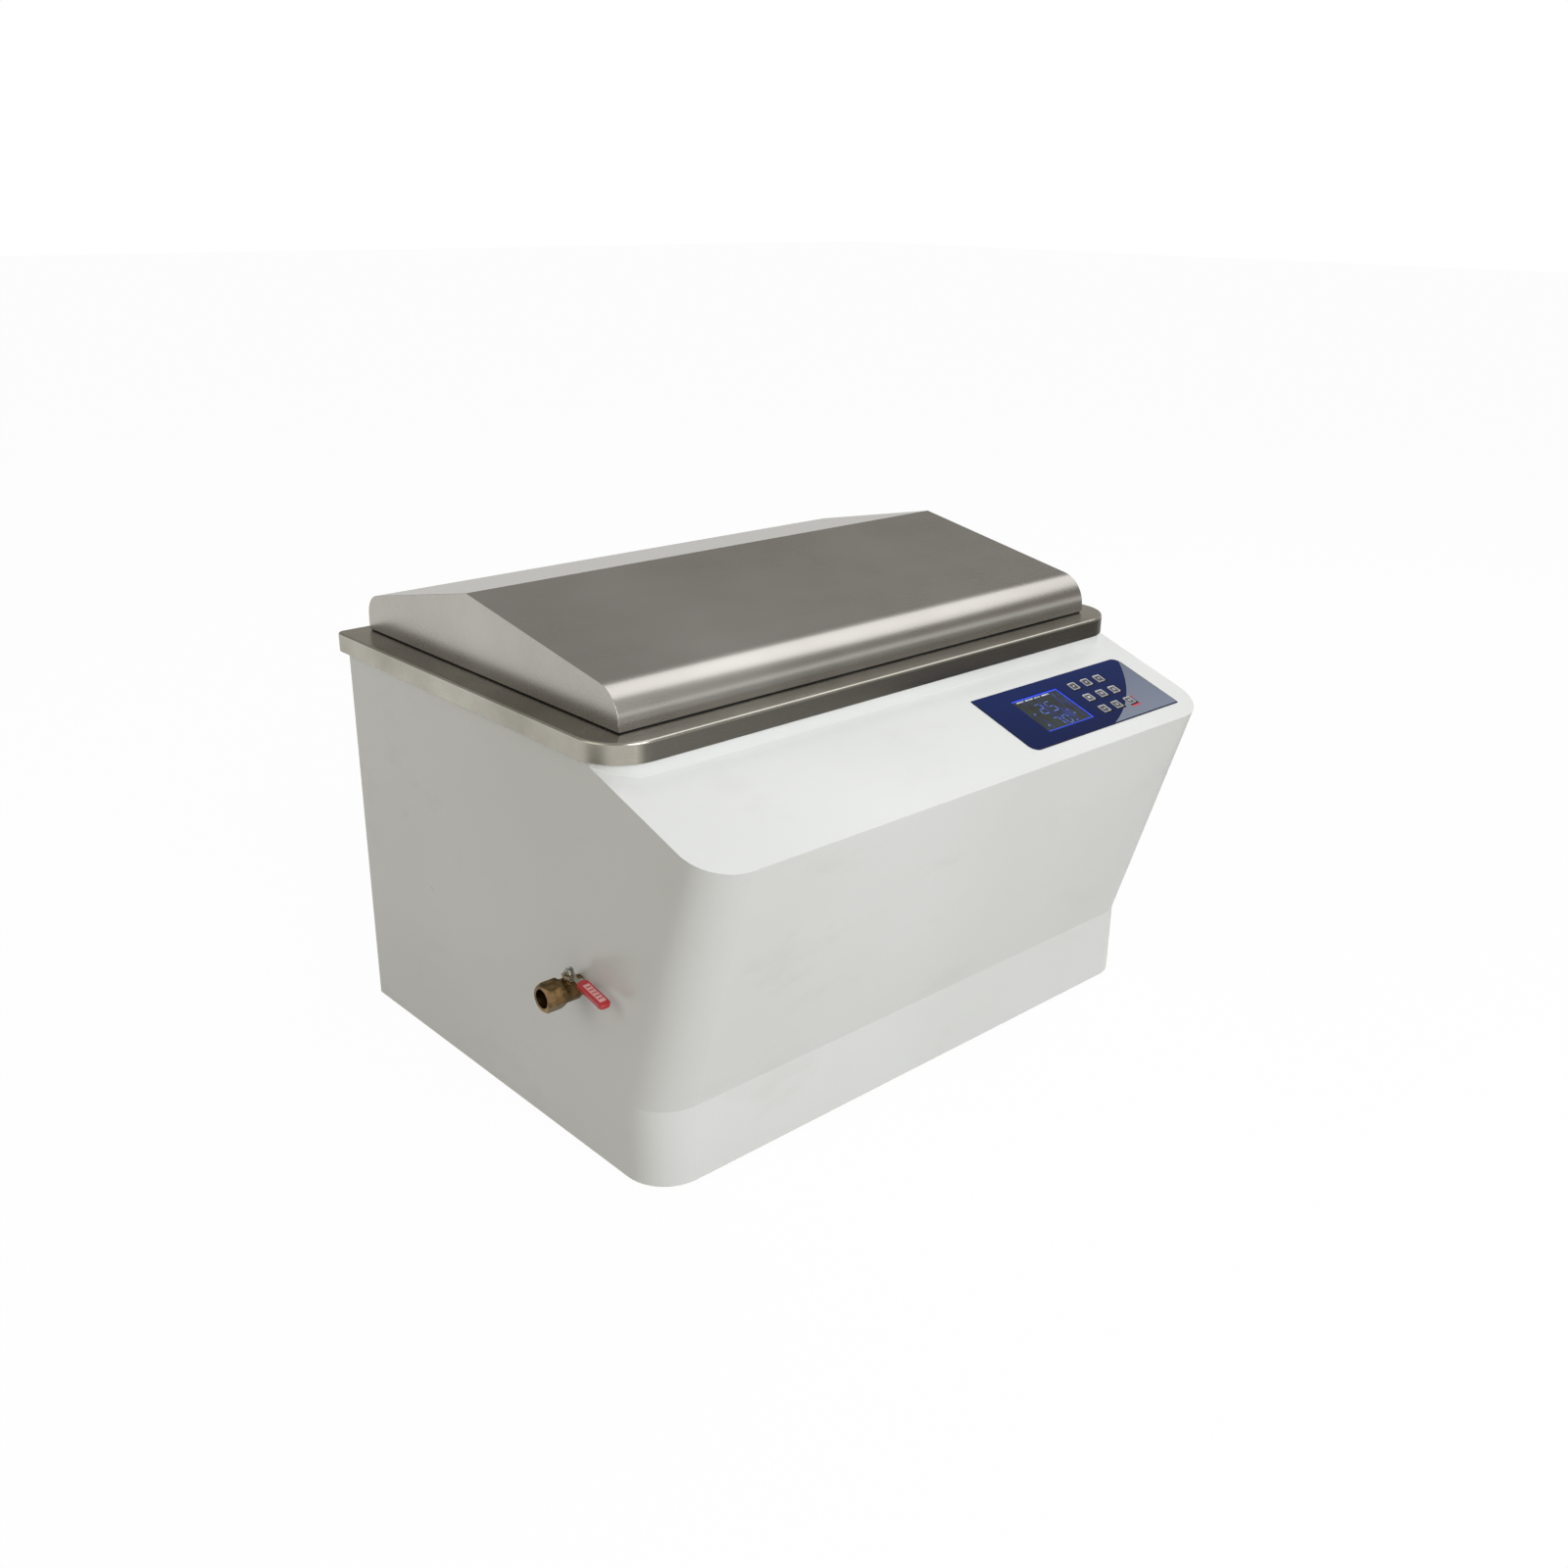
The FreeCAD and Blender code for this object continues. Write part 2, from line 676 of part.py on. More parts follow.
def build_cabinet():
    outer = cabinet_form("outer", "0", "shell_bottom", "shell_top", "shell_back")
    inner = cabinet_form("inner", "shell_wall", "shell_bottom + shell_wall", "shell_top - shell_wall",
                         "shell_back - shell_wall")
    inset = "(shell_wall + shell_flange)"
    top_inset = "(shell_wall + shell_top_flange)"
    rear_way = block("rear_way", (f"-half_width + {inset}", f"half_width - {inset}"),
                     ("shell_back - 2 * shell_wall", "shell_back + shell_wall"),
                     (f"shell_bottom + {inset}", f"rim_bottom - panel_margin - {inset}"))
    bottom_way = block("bottom_way", (f"-half_width + {inset}", f"half_width - {inset}"),
                       ("shell_front + foot_inset - foot_radius - 2 * shell_wall", f"shell_back - {inset}"),
                       ("shell_bottom - shell_wall", "shell_bottom + 2 * shell_wall"))
    top_way = block("top_way", (f"-half_width + {top_inset}", f"half_width - {top_inset}"),
                    (f"neck_face + {top_inset}", f"shell_back - {top_inset}"),
                    ("shell_top - 2 * shell_wall", "shell_top + shell_wall"))
    display_way = on_console(prism("display_way", "XY", [
        ("display_left - display_frame / 2", "display_low - display_frame / 2"),
        ("display_left + display_width + display_frame / 2", "display_low - display_frame / 2"),
        ("display_left + display_width + display_frame / 2", "display_high + display_frame / 2"),
        ("display_left - display_frame / 2", "display_high + display_frame / 2")],
        "-3 * shell_wall", "shell_wall"))
    key_way = on_console(prism("key_way", "XY", [
        ("key_left - key_pitch / 2", "key_low - key_row_pitch / 2"),
        ("key_left + 2.5 * key_pitch", "key_low - key_row_pitch / 2"),
        ("key_left + 2.5 * key_pitch", "key_low + 2.5 * key_row_pitch"),
        ("key_left - key_pitch / 2", "key_low + 2.5 * key_row_pitch")],
        "-3 * shell_wall", "shell_wall"))
    drain_way = rod("drain_way", "grommet_radius", y="valve_axis", z="valve_height",
                    low="-half_width - shell_wall", high="-half_width + 2 * shell_wall", axis="x")
    screw_ways = [rod(f"shell_screw_way_{i}", "screw_radius", x=x, z=z, low="shell_back - 2 * shell_wall",
                      high="shell_back + shell_wall", axis="y")
                  for i, (x, z) in enumerate(rear_screw_places())]
    node(cut("cabinet_shell", outer, inner, rear_way, bottom_way, top_way, display_way, key_way,
             drain_way, *screw_ways))

    gap = "(shell_wall + small_gap)"
    plate = prism("base_blank", "XY",
                  cabinet_section(f"half_width - {gap}", f"shell_front + {gap}", f"shell_back - {gap}",
                                  f"corner_radius - {gap}"),
                  "shell_bottom + shell_wall", "base_top")
    vents = [block(f"base_vent_{i}", (f"{i - vent_count // 2} * louvre_pitch",
                                      f"{i - vent_count // 2} * louvre_pitch + louvre_height"),
                   ("shell_front + 2 * foot_inset", "shell_front + 2 * foot_inset + louvre_length"),
                   ("shell_bottom", "base_top + base_thickness")) for i in range(vent_count)]
    foot_ways = [rod(f"foot_way_{i}", "screw_radius", x=x, y=y, low="shell_bottom", high="base_top + overcut")
                 for i, (x, y) in enumerate(foot_places)]
    node(cut("base_plate", plate, *vents, *foot_ways))

    build_rear_panel()


vent_count = 13
louvre_count = 9
foot_places = [(f"{side} * (half_width - foot_inset)", f"{end} * (cabinet_depth / 2 - foot_inset)")
               for side in (-1, 1) for end in (-1, 1)]


def build_rear_panel():
    plate = block("panel_blank", ("-half_width + panel_margin", "half_width - panel_margin"),
                  ("shell_back", "panel_face"), ("shell_bottom + panel_margin", "rim_bottom - panel_margin"))
    slots = []
    hoods = []
    for bank, side in enumerate(("-half_width / 2", "half_width / 4")):
        for i in range(louvre_count):
            low = f"louvre_low + {i} * louvre_pitch"
            x = (side, f"{side} + louvre_length")
            slots.append(block(f"louvre_slot_{bank}_{i}", x, ("shell_back - overcut", "panel_face + overcut"),
                               (low, f"{low} + louvre_height")))
            hood = prism(f"louvre_hood_{bank}_{i}", "YZ", [
                ("panel_face", f"{low} + louvre_height"),
                (f"panel_face + louvre_height", f"{low}"),
                (f"panel_face + louvre_height + panel_thickness", f"{low}"),
                ("panel_face", f"{low} + louvre_height + 1.5 * panel_thickness")],
                f"{side} - panel_thickness", f"{side} + louvre_length + panel_thickness")
            hoods.append(hood)
    inlet_way = block("inlet_way", ("inlet_side - inlet_width / 2", "inlet_side + inlet_width / 2"),
                      ("shell_back - overcut", "panel_face + overcut"),
                      ("inlet_level - inlet_tall / 2", "inlet_level + inlet_tall / 2"))
    switch_way = block("switch_way", ("switch_side - switch_width / 2", "switch_side + switch_width / 2"),
                       ("shell_back - overcut", "panel_face + overcut"),
                       ("inlet_level - switch_tall / 2", "inlet_level + switch_tall / 2"))
    screw_ways = [rod(f"panel_screw_way_{i}", "screw_radius", x=x, z=z, low="shell_back - overcut",
                      high="panel_face + overcut", axis="y") for i, (x, z) in enumerate(rear_screw_places())]
    node(cut("rear_panel", fuse("panel_with_hoods", plate, *hoods), inlet_way, switch_way, *slots, *screw_ways))


def build_feet_and_screws():
    underside = "(shell_bottom + shell_wall)"
    recess = "(screw_head_radius + 2 * small_gap)"
    feet = [turned(f"foot_{i}", [("screw_radius", f"{underside} / 2"), (recess, f"{underside} / 2"),
                                 (recess, "0"), ("foot_radius", "0"), ("foot_radius + foot_flare", underside),
                                 ("screw_radius", underside)], x=x, y=y)
            for i, (x, y) in enumerate(foot_places)]
    node(group("rubber_feet", feet))
    screws = [turned(f"foot_screw_{i}", [("0", f"{underside} / 2 - screw_head_height"),
                                         ("screw_head_radius", f"{underside} / 2 - screw_head_height"),
                                         ("screw_head_radius", f"{underside} / 2"),
                                         ("screw_radius", f"{underside} / 2"),
                                         ("screw_radius", "base_top + 3 * base_thickness"),
                                         ("0", "base_top + 3 * base_thickness")], x=x, y=y)
              for i, (x, y) in enumerate(foot_places)]
    for i, (x, z) in enumerate(rear_screw_places()):
        head = rod(f"panel_screw_head_{i}", "screw_head_radius", x=x, z=z, low="panel_face",
                   high="panel_face + screw_head_height", axis="y")
        shank = rod(f"panel_screw_shank_{i}", "screw_radius", x=x, z=z,
                    low="shell_back - 3 * shell_wall", high="panel_face", axis="y")
        screws.append(fuse(f"panel_screw_{i}", head, shank))
    node(group("cabinet_screws", screws))


# Rim, tank and insulation

def rim_section(inset):
    """The rim seen from above, set in by an amount."""
    front_radius = f"corner_radius + rim_overhang - {inset}"
    back_radius = f"rim_back_corner - {inset}"
    side = f"(rim_side - {inset})"
    return [(f"-{side}", f"rim_back - {inset}", back_radius), (f"-{side}", f"rim_front + {inset}", front_radius),
            (side, f"rim_front + {inset}", front_radius), (side, f"rim_back - {inset}", back_radius)]


def tank_section(outset):
    """The tank seen from above, grown by an amount."""
    return rounded_box((f"-tank_side - {outset}", f"tank_side + {outset}"),
                       (f"tank_front - {outset}", f"tank_back + {outset}"), f"tank_corner_radius + {outset}")


def build_rim_and_tank():
    band = prism("rim_band", "XY", rim_section("0"), "rim_bottom", "rim_top")
    under = prism("rim_under", "XY", rim_section("rim_wall"), "rim_bottom + rim_wall", "shell_top")
    mouth = prism("rim_mouth", "XY", rim_section("(rim_overhang - small_gap)"), "rim_bottom - rim_wall",
                  "rim_bottom + rim_wall")
    lip = prism("rim_lip_blank", "XY", tank_section("rim_wall"), "shell_top", "rim_top + rim_lip")
    well = prism("rim_well", "XY", tank_section("0"), "shell_top - rim_height", "rim_top + 2 * rim_lip")
    node(cut("tank_rim", fuse("rim_and_lip", cut("rim_channel", band, under, mouth), lip), well))

    outside = prism("tank_outside", "XY", tank_section("tank_wall"), "tank_underside", "shell_top")
    dressed(outside, "Fillet", "tank_outside_bend", "tank_floor_radius + tank_wall", at_level("tank_underside"))
    inside = prism("tank_inside", "XY", tank_section("0"), "tank_floor", "rim_top")
    dressed(inside, "Fillet", "tank_inside_bend", "tank_floor_radius", at_level("tank_floor"))
    flange = prism("tank_flange_blank", "XY", tank_section("(tank_wall + tank_flange)"),
                   "shell_top - tank_wall", "shell_top")
    drain_hole = rod("tank_drain_hole", "port_radius", x="drain_side", y="valve_axis",
                     low="tank_underside - overcut", high="tank_floor + overcut")
    heater_holes = [rod(f"tank_heater_hole_{i}", "heater_radius", y=f"tank_middle + {side} * heater_reach",
                        z="heater_level", low="tank_side - overcut", high="tank_side + 2 * tank_wall", axis="x")
                    for i, side in enumerate((-1, 1))]
    probe_hole = rod("tank_probe_hole", "probe_radius", y="tank_middle", z="probe_level",
                     low="tank_side - overcut", high="tank_side + 2 * tank_wall", axis="x")
    node(cut("tank", fuse("tank_blank", outside, flange), inside, drain_hole, probe_hole, *heater_holes))

    wrap = "(tank_wall + small_gap)"
    slab = prism("insulation_blank", "XY", tank_section(f"({wrap} + insulation_thickness)"),
                 "tank_floor + insulation_lift", f"shell_top - {wrap}")
    core = prism("insulation_core", "XY", tank_section(wrap), "tank_floor", "rim_top")
    node(cut("tank_insulation", slab, core))


# Lid and hinges

def build_lid():
    body = prism("lid_shell", "YZ", [
        ("lid_front", "lid_bottom"), ("lid_back", "lid_bottom"),
        ("lid_back", "lid_wall_top", "lid_back_bend"), ("ridge_back", "ridge_top", "ridge_bend"),
        ("lid_front", "lid_wall_top", "lid_front_bend")], "-lid_side", "lid_side")
    doc.recompute()
    pad = body.Tip
    open_face = [f"Face{i}" for i, face in enumerate(pad.Shape.Faces, start=1)
                 if abs(face.BoundBox.ZMax - number("lid_bottom")) < 0.001]
    shelled = body.newObject("PartDesign::Thickness", "lid_shelled")
    shelled.Base = (pad, open_face)
    shelled.Reversed = True
    bind(shelled, Value="lid_wall")
    body.Tip = shelled
    node(body)

    ring = block("gasket_blank", ("-lid_side + lid_wall", "lid_side - lid_wall"),
                 ("lid_front + lid_wall", "lid_back - lid_wall"),
                 ("rim_top + small_gap", "rim_top + small_gap + gasket_height"))
    inset = "lid_wall + gasket_width"
    hollow = block("gasket_hollow", (f"-lid_side + {inset}", f"lid_side - ({inset})"),
                   (f"lid_front + {inset}", f"lid_back - ({inset})"), ("rim_top", "rim_top + 2 * gasket_height"))
    node(cut("lid_gasket", ring, hollow))

    fixed_leaves = []
    moving_leaves = []
    pins = []
    for i, side in enumerate((-1, 1)):
        middle = f"{side} * hinge_side"
        ends = (f"{middle} - hinge_width / 2", f"{middle} + hinge_width / 2")
        inner = (f"{middle} - hinge_middle_knuckle / 2", f"{middle} + hinge_middle_knuckle / 2")
        axis = {"y": "hinge_back", "z": "hinge_top", "axis": "x"}
        leaf = block(f"fixed_leaf_{i}", ends, ("lid_back + hinge_leaf + small_gap", "rim_back - hinge_leaf"),
                     ("rim_top", "rim_top + hinge_leaf"))
        web = block(f"fixed_web_{i}", ends, ("hinge_back - hinge_pin_radius - hinge_web",
                                             "hinge_back + hinge_pin_radius + hinge_web"),
                    ("rim_top + hinge_leaf", "hinge_top"))
        barrel = rod(f"fixed_barrel_{i}", "knuckle_radius", low=ends[0], high=ends[1], **axis)
        slot = block(f"fixed_slot_{i}", (f"{inner[0]} - small_gap", f"{inner[1]} + small_gap"),
                     ("hinge_back - 2 * knuckle_radius", "hinge_back + 2 * knuckle_radius"),
                     ("rim_top + hinge_leaf", "hinge_top + 2 * knuckle_radius"))
        bore = rod(f"fixed_bore_{i}", "hinge_pin_radius", low=f"{ends[0]} - overcut", high=f"{ends[1]} + overcut",
                   **axis)
        fixed_leaves.append(cut(f"hinge_fixed_{i}", fuse(f"hinge_fixed_blank_{i}", leaf, web, barrel), slot, bore))
        plate = block(f"moving_leaf_{i}", ends, ("lid_back", "lid_back + hinge_leaf"),
                      ("hinge_top - hinge_leaf_drop", "hinge_top + 2 * knuckle_radius"))
        arm = block(f"moving_arm_{i}", inner, ("lid_back + hinge_leaf", "hinge_back"),
                    ("hinge_top + hinge_pin_radius", "hinge_top + knuckle_radius"))
        knuckle = rod(f"moving_knuckle_{i}", "knuckle_radius", low=inner[0], high=inner[1], **axis)
        moving_bore = rod(f"moving_bore_{i}", "hinge_pin_radius + close_fit",
                          low=f"{inner[0]} - overcut", high=f"{inner[1]} + overcut", **axis)
        moving_leaves.append(cut(f"hinge_moving_{i}", fuse(f"hinge_moving_blank_{i}", plate, arm, knuckle),
                                 moving_bore))
        pins.append(rod(f"hinge_pin_{i}", "hinge_pin_radius", low=ends[0], high=ends[1], **axis))
    node(group("hinge_fixed_leaves", fixed_leaves))
    node(group("hinge_moving_leaves", moving_leaves))
    node(group("hinge_pins", pins))


# Heater and probe

def build_heater():
    side = "heater_side"
    reach = "heater_reach"
    pieces = []
    for i, sign in enumerate((-1, 1)):
        line = f"tank_middle + {sign} * {reach}"
        pieces.append(rod(f"heater_run_{i}", "heater_radius", y=line, z="heater_level",
                          low=f"-{side} + heater_bend",
                          high="tank_side + tank_wall + gland_length + terminal_length", axis="x"))
        bend = doc.addObject("Part::Torus", f"heater_bend_{i}")
        bend.Angle1 = -180
        bend.Angle2 = 180
        bend.Angle3 = 90
        turn = 90 if sign == 1 else 180
        bend.Placement = FreeCAD.Placement(FreeCAD.Vector(), FreeCAD.Rotation(FreeCAD.Vector(0, 0, 1), turn))
        pieces.append(bind(bend, Radius1="heater_bend", Radius2="heater_radius", x=f"-{side} + heater_bend",
                           y=f"tank_middle + {sign} * ({reach} - heater_bend)", z="heater_level"))
        pieces.append(rod(f"heater_post_{i}", "heater_post_radius", x=f"-{side} + 2 * heater_bend", y=line,
                          low="tank_floor", high="heater_level"))
    pieces.append(rod("heater_end", "heater_radius", x=f"-{side}", z="heater_level",
                      low=f"tank_middle - {reach} + heater_bend", high=f"tank_middle + {reach} - heater_bend",
                      axis="y"))
    element = fuse("heater_tube", *pieces)
    nuts = []
    for i, sign in enumerate((-1, 1)):
        line = f"tank_middle + {sign} * {reach}"
        for end, (low, high) in enumerate((("tank_side - gland_length", "tank_side"),
                                           ("tank_side + tank_wall", "tank_side + tank_wall + gland_length"))):
            nut = rod(f"gland_{i}_{end}", "gland_radius", y=line, z="heater_level", low=low, high=high, axis="x")
            bore = rod(f"gland_bore_{i}_{end}", "heater_radius", y=line, z="heater_level", low=f"{low} - overcut",
                       high=f"{high} + overcut", axis="x")
            nuts.append(cut(f"gland_nut_{i}_{end}", nut, bore))
    node(group("heater_element", [element] + nuts))
    stalk = rod("probe_stalk", "probe_radius", y="tank_middle", z="probe_level",
                low="tank_side - probe_length", high="tank_side + tank_wall + gland_length + terminal_length",
                axis="x")
    collar = rod("probe_collar", "probe_collar_radius", y="tank_middle", z="probe_level",
                 low="tank_side + tank_wall", high="tank_side + tank_wall + gland_length", axis="x")
    node(fuse("temperature_probe", stalk, collar))


# Drain and its ball valve, drawn with the stem upright and then clocked about the pipe

def on_valve(piece):
    return bind(tilted(piece, "valve_tilt"), x="stem_side", y="valve_axis", z="valve_height")


def hexagon(across_flats, turn=0):
    """Corners of a hexagon about the origin."""
    corners = []
    for i in range(6):
        angle = 60 * i + turn
        corners.append((f"{across_flats} / sqrt(3) * cos({angle})", f"{across_flats} / sqrt(3) * sin({angle})"))
    return corners


def build_valve():
    mouth = "-(valve_open_reach - valve_stem_reach)"
    hex_end = f"({mouth} + valve_hex_length)"
    tail_end = "(valve_stem_reach - small_gap)"
    hexagonal = prism("valve_hex", "YZ", hexagon("valve_across_flats"), mouth, hex_end)
    face_radius = "(valve_across_flats / 2 - valve_face_step)"
    dressing = turned("valve_hex_dressing", [
        ("0", "0"), (face_radius, "0"), (f"{face_radius} + valve_chamfer", "valve_chamfer"),
        (f"{face_radius} + valve_chamfer", "valve_hex_length - valve_chamfer"),
        (face_radius, "valve_hex_length"), ("0", "valve_hex_length")])
    dressing.Placement = FreeCAD.Placement(FreeCAD.Vector(), along["x"])
    bind(dressing, x=mouth)
    ended = common("valve_hex_chamfered", hexagonal, dressing)
    shoulder = "(valve_barrel_radius + valve_shoulder)"
    barrel = turned("valve_barrel", [
        ("0", "0"), (face_radius, "0"), ("valve_barrel_radius", "valve_taper"),
        ("valve_barrel_radius", shoulder), ("valve_tail_radius", f"{shoulder} + valve_taper"),
        ("valve_tail_radius", f"{tail_end} - {hex_end}"), ("0", f"{tail_end} - {hex_end}")])
    barrel.Placement = FreeCAD.Placement(FreeCAD.Vector(), along["x"])
    bind(barrel, x=hex_end)
    packing = rod("valve_packing", "packing_radius", low="0", high="lever_rise - small_gap")
    cavity = doc.addObject("Part::Sphere", "valve_cavity")
    bind(cavity, Radius="ball_radius + small_gap")
    outlet = rod("valve_outlet", "valve_bore", low=f"{mouth} - overcut", high=f"{mouth} + valve_bore_depth",
                 axis="x")
    port = rod("valve_port", "port_radius", low=mouth, high=tail_end, axis="x")
    socket = rod("valve_socket", "pipe_radius", low=f"{tail_end} - pipe_socket", high=f"{tail_end} + overcut",
                 axis="x")
    stem_way = rod("valve_stem_way", "stem_radius + close_fit", low="0", high="lever_rise + overcut")
    node(on_valve(cut("valve_body", fuse("valve_blank", ended, barrel, packing), cavity, outlet, port, socket,
                      stem_way)))

    ball = doc.addObject("Part::Sphere", "valve_ball")
    bind(ball, Radius="ball_radius")
    through = rod("ball_port", "port_radius", low="-2 * ball_radius", high="2 * ball_radius", axis="y")
    spindle = rod("valve_spindle", "stem_radius", low="ball_radius - stem_root",
                  high="lever_rise + lever_thickness + valve_nut_height + stem_proud")
    node(on_valve(fuse("valve_stem", cut("ball_bored", ball, through), spindle)))

    top = "lever_rise + lever_thickness"
    knee = "(packing_radius + lever_shoulder)"
    outer = f"({knee} + lever_crank)"
    strip = prism("lever_strip", "YZ", [
        ("packing_radius", "lever_rise"), ("packing_radius", top), (f"-{knee}", top),
        (f"-{outer}", f"{top} + lever_crank"), ("-lever_length", f"{top} + lever_crank"),
        ("-lever_length", "lever_rise + lever_crank"), (f"-{outer}", "lever_rise + lever_crank"),
        (f"-{knee}", "lever_rise")], "-lever_width / 2", "lever_width / 2")
    hub_radius = "(packing_radius + lever_edge)"
    stop = block("lever_stop", (f"{hub_radius} - lever_stop_depth", hub_radius),
                 ("-lever_stop_width / 2", "lever_stop_width / 2"), ("valve_barrel_radius + small_gap", top))
    hub = rod("lever_hub", hub_radius, low="lever_rise", high=top)
    hub_bore = rod("lever_bore", "stem_radius", low="lever_rise - overcut", high=f"{top} + overcut")
    stop_way = rod("lever_stop_way", "packing_radius + small_gap", low="valve_barrel_radius", high="lever_rise")
    lever = cut("valve_lever", fuse("lever_blank", strip, hub, stop), hub_bore, stop_way)
    node(on_valve(lever))

    level = "lever_rise + lever_crank"
    sleeve = prism("sleeve_blank", "XY", rounded_box(
        ("-lever_width / 2 - sleeve_wall", "lever_width / 2 + sleeve_wall"),
        ("-lever_length - sleeve_wall", "-lever_length + sleeve_length"), "lever_width / 2"),
        f"{level} - sleeve_wall", f"{level} + lever_thickness + sleeve_wall")
    dressed(sleeve, "Fillet", "sleeve_edge", "sleeve_wall - small_gap",
            lambda edge: abs(edge.BoundBox.ZMax - edge.BoundBox.ZMin) < 0.001)
    slit = block("sleeve_slit", ("-lever_width / 2", "lever_width / 2"),
                 ("-lever_length", "-lever_length + sleeve_length + overcut"),
                 (level, f"{level} + lever_thickness"))
    node(on_valve(cut("valve_sleeve", sleeve, slit)))

    nut = prism("valve_nut_blank", "XY", hexagon("valve_nut_flats"), top, f"{top} + valve_nut_height")
    nut_bore = rod("valve_nut_bore", "stem_radius", low=top, high=f"{top} + valve_nut_height")
    node(on_valve(cut("valve_nut", nut, nut_bore)))

    def pipe_line(name, radius, start, rise):
        run = rod(name + "_run", radius, y="valve_axis", z="valve_height", low=start,
                  high="drain_side - pipe_bend", axis="x")
        bend = doc.addObject("Part::Torus", name + "_bend")
        bend.Angle1 = -180
        bend.Angle2 = 180
        bend.Angle3 = 90
        bend.Placement = FreeCAD.Placement(FreeCAD.Vector(), FreeCAD.Rotation(FreeCAD.Vector(1, 0, 0), 90)
                                           * FreeCAD.Rotation(FreeCAD.Vector(0, 0, 1), -90))
        bind(bend, Radius1="pipe_bend", Radius2=radius, x="drain_side - pipe_bend", y="valve_axis",
             z="valve_height + pipe_bend")
        climb = rod(name + "_climb", radius, x="drain_side", y="valve_axis", low="valve_height + pipe_bend",
                    high=rise)
        return fuse(name, run, bend, climb)

    inlet_end = "(-half_width - small_gap - pipe_socket)"
    outside = pipe_line("pipe_outside", "pipe_radius", inlet_end, "tank_underside")
    inside = pipe_line("pipe_inside", "port_radius", f"{inlet_end} - overcut", "tank_underside + overcut")
    node(cut("drain_pipe", outside, inside))
    grommet = rod("grommet_blank", "grommet_radius + grommet_flange", y="valve_axis", z="valve_height",
                  low="-half_width", high="-half_width + shell_wall + 2 * grommet_flange", axis="x")
    grommet_ring = rod("grommet_ring", "grommet_radius + 2 * grommet_flange", y="valve_axis",
                       z="valve_height", low="-half_width - overcut", high="-half_width + shell_wall", axis="x")
    grommet_core = rod("grommet_core", "grommet_radius", y="valve_axis", z="valve_height",
                       low="-half_width - 2 * overcut", high="-half_width + shell_wall + overcut", axis="x")
    groove = cut("grommet_groove", grommet_ring, grommet_core)
    grommet_bore = rod("grommet_bore", "pipe_radius", y="valve_axis", z="valve_height",
                       low="-half_width - overcut",
                       high="-half_width + shell_wall + 2 * grommet_flange + overcut", axis="x")
    node(cut("drain_grommet", grommet, groove, grommet_bore))


# Orbital drive

idler_places = {
    "left": ("-idler_side", "tank_middle - idler_front"),
    "right": ("idler_side", "tank_middle - idler_front"),
    "rear": ("-idler_rear_side", "tank_middle + idler_rear"),
}
column_places = [(f"{side} * (deck_side - column_inset)", f"tank_middle + {end} * (deck_end - column_inset)")
                 for side in (-1, 1) for end in (-1, 1)]


def ring(name, inner, outer, x, y, low, high):
    """A tube between two levels."""
    return cut(name, rod(name + "_outer", outer, x=x, y=y, low=low, high=high),
               rod(name + "_inner", inner, x=x, y=y, low=f"({low}) - overcut", high=f"({high}) + overcut"))


